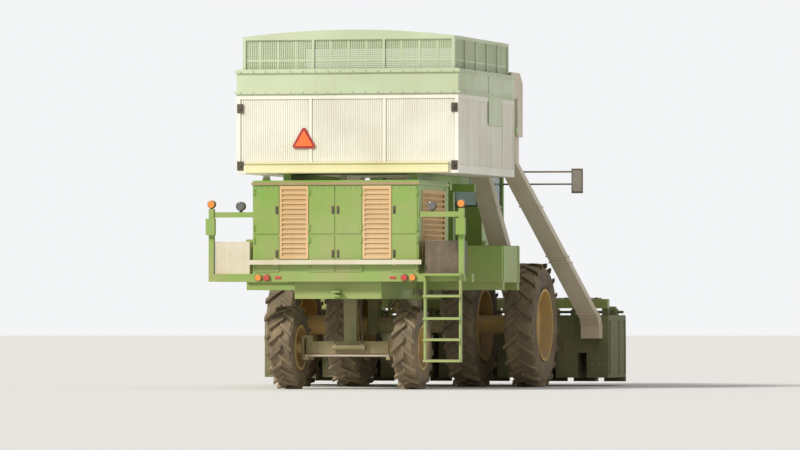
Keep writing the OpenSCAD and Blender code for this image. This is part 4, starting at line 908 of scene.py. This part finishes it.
def pipe_runs():
    """Hydraulic pipes along the outer faces of the frame's rails, with their clips."""
    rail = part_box("main_frame")[1].x
    pipes, clips = [], []
    for side in (-1, 1):
        x = side * (rail + 0.0135)
        for i in range(3):
            z = 1.46 + 0.035 * i
            pipes.append(tube([(x, -0.84 + AXLE_Y, z), (x, 2.70 + AXLE_Y, z)], 0.009, smooth=False))
        for i in range(5):
            y = -0.60 + AXLE_Y + i * 0.72
            clips.append(block((side * (rail - 0.002), y - 0.02, 1.435),
                               (side * (rail + 0.030), y + 0.02, 1.555), 0.003))
    link("rail_pipes", merged(pipes), "chassis", steel)
    link("pipe_clips", merged(clips), "chassis", black)


def walkway_treads():
    """Bar grating on the platform's deck, the boarding ladder and the rear steps."""
    grating = []

    def lay(low, high, z, pitch, bar):
        """Grating between two corners, its cross bars twice as far apart as its long ones."""
        centre = ((low[0] + high[0]) / 2, (low[1] + high[1]) / 2, z + bar * 0.25)
        place = Matrix.Translation(centre) @ Matrix.Rotation(QUARTER, 4, "X")
        width, length = high[0] - low[0], high[1] - low[1]
        grating.append(woven(place, width, length, pitch, 2 * pitch, bar, steel))

    deck_front, deck_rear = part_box("platform")[0].y + 0.05, -1.270 + AXLE_Y
    lay((0.88, deck_front), (1.64, deck_rear), DECK_TOP, 0.040, 0.008)
    steps, edge, spread, drop = 6, 1.670, 0.610, 1.730
    for i in range(steps):
        share = (i + 0.4) / steps
        x, z = edge + share * spread, DECK_TOP - share * drop
        lay((x + 0.020, -1.480 + AXLE_Y), (x + 0.150, -1.120 + AXLE_Y), z + 0.035, 0.030, 0.006)
    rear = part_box("service_ladder")[1].y
    for z in (0.455, 0.775, 1.095, 1.435, 1.760):
        lay((-1.96, rear - 0.140), (-1.42, rear - 0.012), z, 0.030, 0.006)
    link("walkway_treads", merged(grating), "chassis", steel)


def steering_hoses():
    """Hoses from the steering cylinder on the rear axle up to the frame."""
    station = 4.030 + AXLE_Y
    hoses, ports = [], []
    for side in (-1, 1):
        ports.append(disc((side * 0.205, station, 0.684), 0.014, 0.028, Z, sides=8, bevel=0.002))
        for reach in (0.0, 0.045):
            y = station + reach
            hoses.append(tube([(side * 0.205, y, 0.690), (side * 0.235, y + 0.03, 0.86),
                               (side * 0.19, y - 0.03, 1.12),
                               (side * (0.16 + reach), station - 0.07, 1.376)], 0.010))
    link("steering_hoses", merged(hoses), "chassis", hose_rubber)
    link("steering_ports", merged(ports), "chassis", steel)


def window_gaskets():
    """Rubber gaskets round the cab's front and rear windows, and a grab rail beside the door."""
    low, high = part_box("cab_shell")
    half, top, rear_wall = CAB_SIDE - 0.080, high.z - 0.060, -1.200 + AXLE_Y
    gaskets = []
    for face, base in ((low.y - 0.001, 2.420), (rear_wall + 0.001, 2.880)):
        ring = [(-half, face, base), (half, face, base), (half, face, top), (-half, face, top)]
        for ends in zip(ring, ring[1:] + ring[:1]):
            gaskets.append(tube(ends, 0.012, smooth=False, sides=2))
    link("window_gaskets", merged(gaskets), "chassis", hose_rubber)
    y, wall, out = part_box("cab_door")[1].y + 0.075, CAB_SIDE - 0.002, CAB_SIDE + 0.045
    rail = tube([(wall, y, 2.50), (out, y, 2.52), (out, y, 3.28), (wall, y, 3.30)], 0.011,
                smooth=False)
    link("grab_rail", rail, "chassis", black)


def header_pipes():
    """Oil and water pipes clipped to the header beam, with a hose to each row unit's gear case."""
    low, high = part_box("header_beam")
    top, gear_case = high.z, 1.221
    pipes, clips, hoses = [], [], []
    for i in range(3):
        y, z = low.y + 0.022 + 0.030 * i, top + 0.011
        pipes.append(tube([(low.x + 0.12, y, z), (high.x - 0.12, y, z)], 0.010, smooth=False))
    for i in range(11):
        x = low.x + 0.20 + i * (high.x - low.x - 0.40) / 10
        clips.append(pad(x, top + 0.012, 0.018, 0.014, low.y + 0.004, low.y + 0.100, 0.003))
    for row in range(ROWS):
        x = row_middle(row) + 0.245
        hoses.append(tube([(x, low.y + 0.022, top + 0.012), (x, low.y - 0.030, top + 0.035),
                           (x, low.y - 0.10, top - 0.08), (x, low.y - 0.22, gear_case)], 0.012))
    link("header_pipes", merged(pipes), "header", steel)
    link("header_clips", merged(clips), "header", black)
    link("header_hoses", merged(hoses), "header", hose_rubber)


# Camera, light and floor


def turned(thing, direction):
    """Turns a camera or a light to look along a direction."""
    thing.rotation_mode = "QUATERNION"
    thing.rotation_quaternion = direction.to_track_quat("-Z", "Y")


def set_camera():
    """Looks from far enough off that upright lines stay upright."""
    low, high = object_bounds()
    middle = Vector((0.0, (low.y + high.y) / 2, AIM_HEIGHT))
    eye = middle + Vector((math.sin(VIEW_TURN), -math.cos(VIEW_TURN), 0.0)) * VIEW_DISTANCE
    eye.z = EYE_HEIGHT
    camera = bpy.data.objects.new("camera", bpy.data.cameras.new("camera"))
    scene.collection.objects.link(camera)
    camera.location = eye
    turned(camera, middle - eye)
    camera.data.sensor_width = SENSOR
    camera.data.lens = SENSOR * VIEW_DISTANCE / VIEW_WIDTH
    camera.data.clip_start, camera.data.clip_end = 1.0, 1000.0
    scene.camera = camera


def set_light():
    """A soft white studio that shows as pale grey, and a broad sun."""
    world = bpy.data.worlds.new("studio")
    scene.world = world
    world.use_nodes = True
    tree = world.node_tree
    path = tree.nodes.new("ShaderNodeLightPath").outputs
    direct = math_node(tree, "MAXIMUM", path["Is Camera Ray"], path["Is Glossy Ray"])
    seen = math_node(tree, "MAXIMUM", direct, path["Is Transmission Ray"])
    soft = tree.nodes["Background"]
    soft.inputs["Color"].default_value = (*STUDIO_WHITE, 1)
    soft.inputs["Strength"].default_value = 0.45
    pale = put(tree, "ShaderNodeBackground", Color=(*BACKDROP_GREY, 1), Strength=1.0)
    mix = put(tree, "ShaderNodeMixShader", i0=seen, i1=soft.outputs[0], i2=pale.outputs[0])
    tree.links.new(mix.outputs[0], tree.nodes["World Output"].inputs["Surface"])

    sun = bpy.data.objects.new("key", bpy.data.lights.new("key", "SUN"))
    sun.data.energy = 3.0
    sun.data.angle = math.radians(12)
    sun.data.color = SUN_COLOUR
    turned(sun, Vector((-0.55, -0.62, -0.72)))
    scene.collection.objects.link(sun)


def lay_floor():
    """A wide pale floor, a little below the tyres."""
    shape = bmesh.new()
    bmesh.ops.create_circle(shape, cap_ends=True, segments=96, radius=260.0)
    mesh = mesh_of(shape, "floor")
    paint, _, shader = new_material("pale_floor")
    shader.inputs["Base Color"].default_value = (*FLOOR_GREY, 1)
    shader.inputs["Roughness"].default_value = 0.9
    mesh.materials.append(paint)
    floor = bpy.data.objects.new("floor", mesh)
    floor.location.z = -0.002
    scene.collection.objects.link(floor)


dress_nodes()
set_camera()
set_light()
lay_floor()
weave_basket()
weave_top()
weave_door()
wheel_nuts()
slow_vehicle_triangle()
fill_drums()
cover_trim()
clogged_screens()
rear_lamps()
cab_trim()
basket_trim()
row_unit_trim()
duct_trim()
cylinder_hoses()
pipe_runs()
walkway_treads()
steering_hoses()
window_gaskets()
header_pipes()
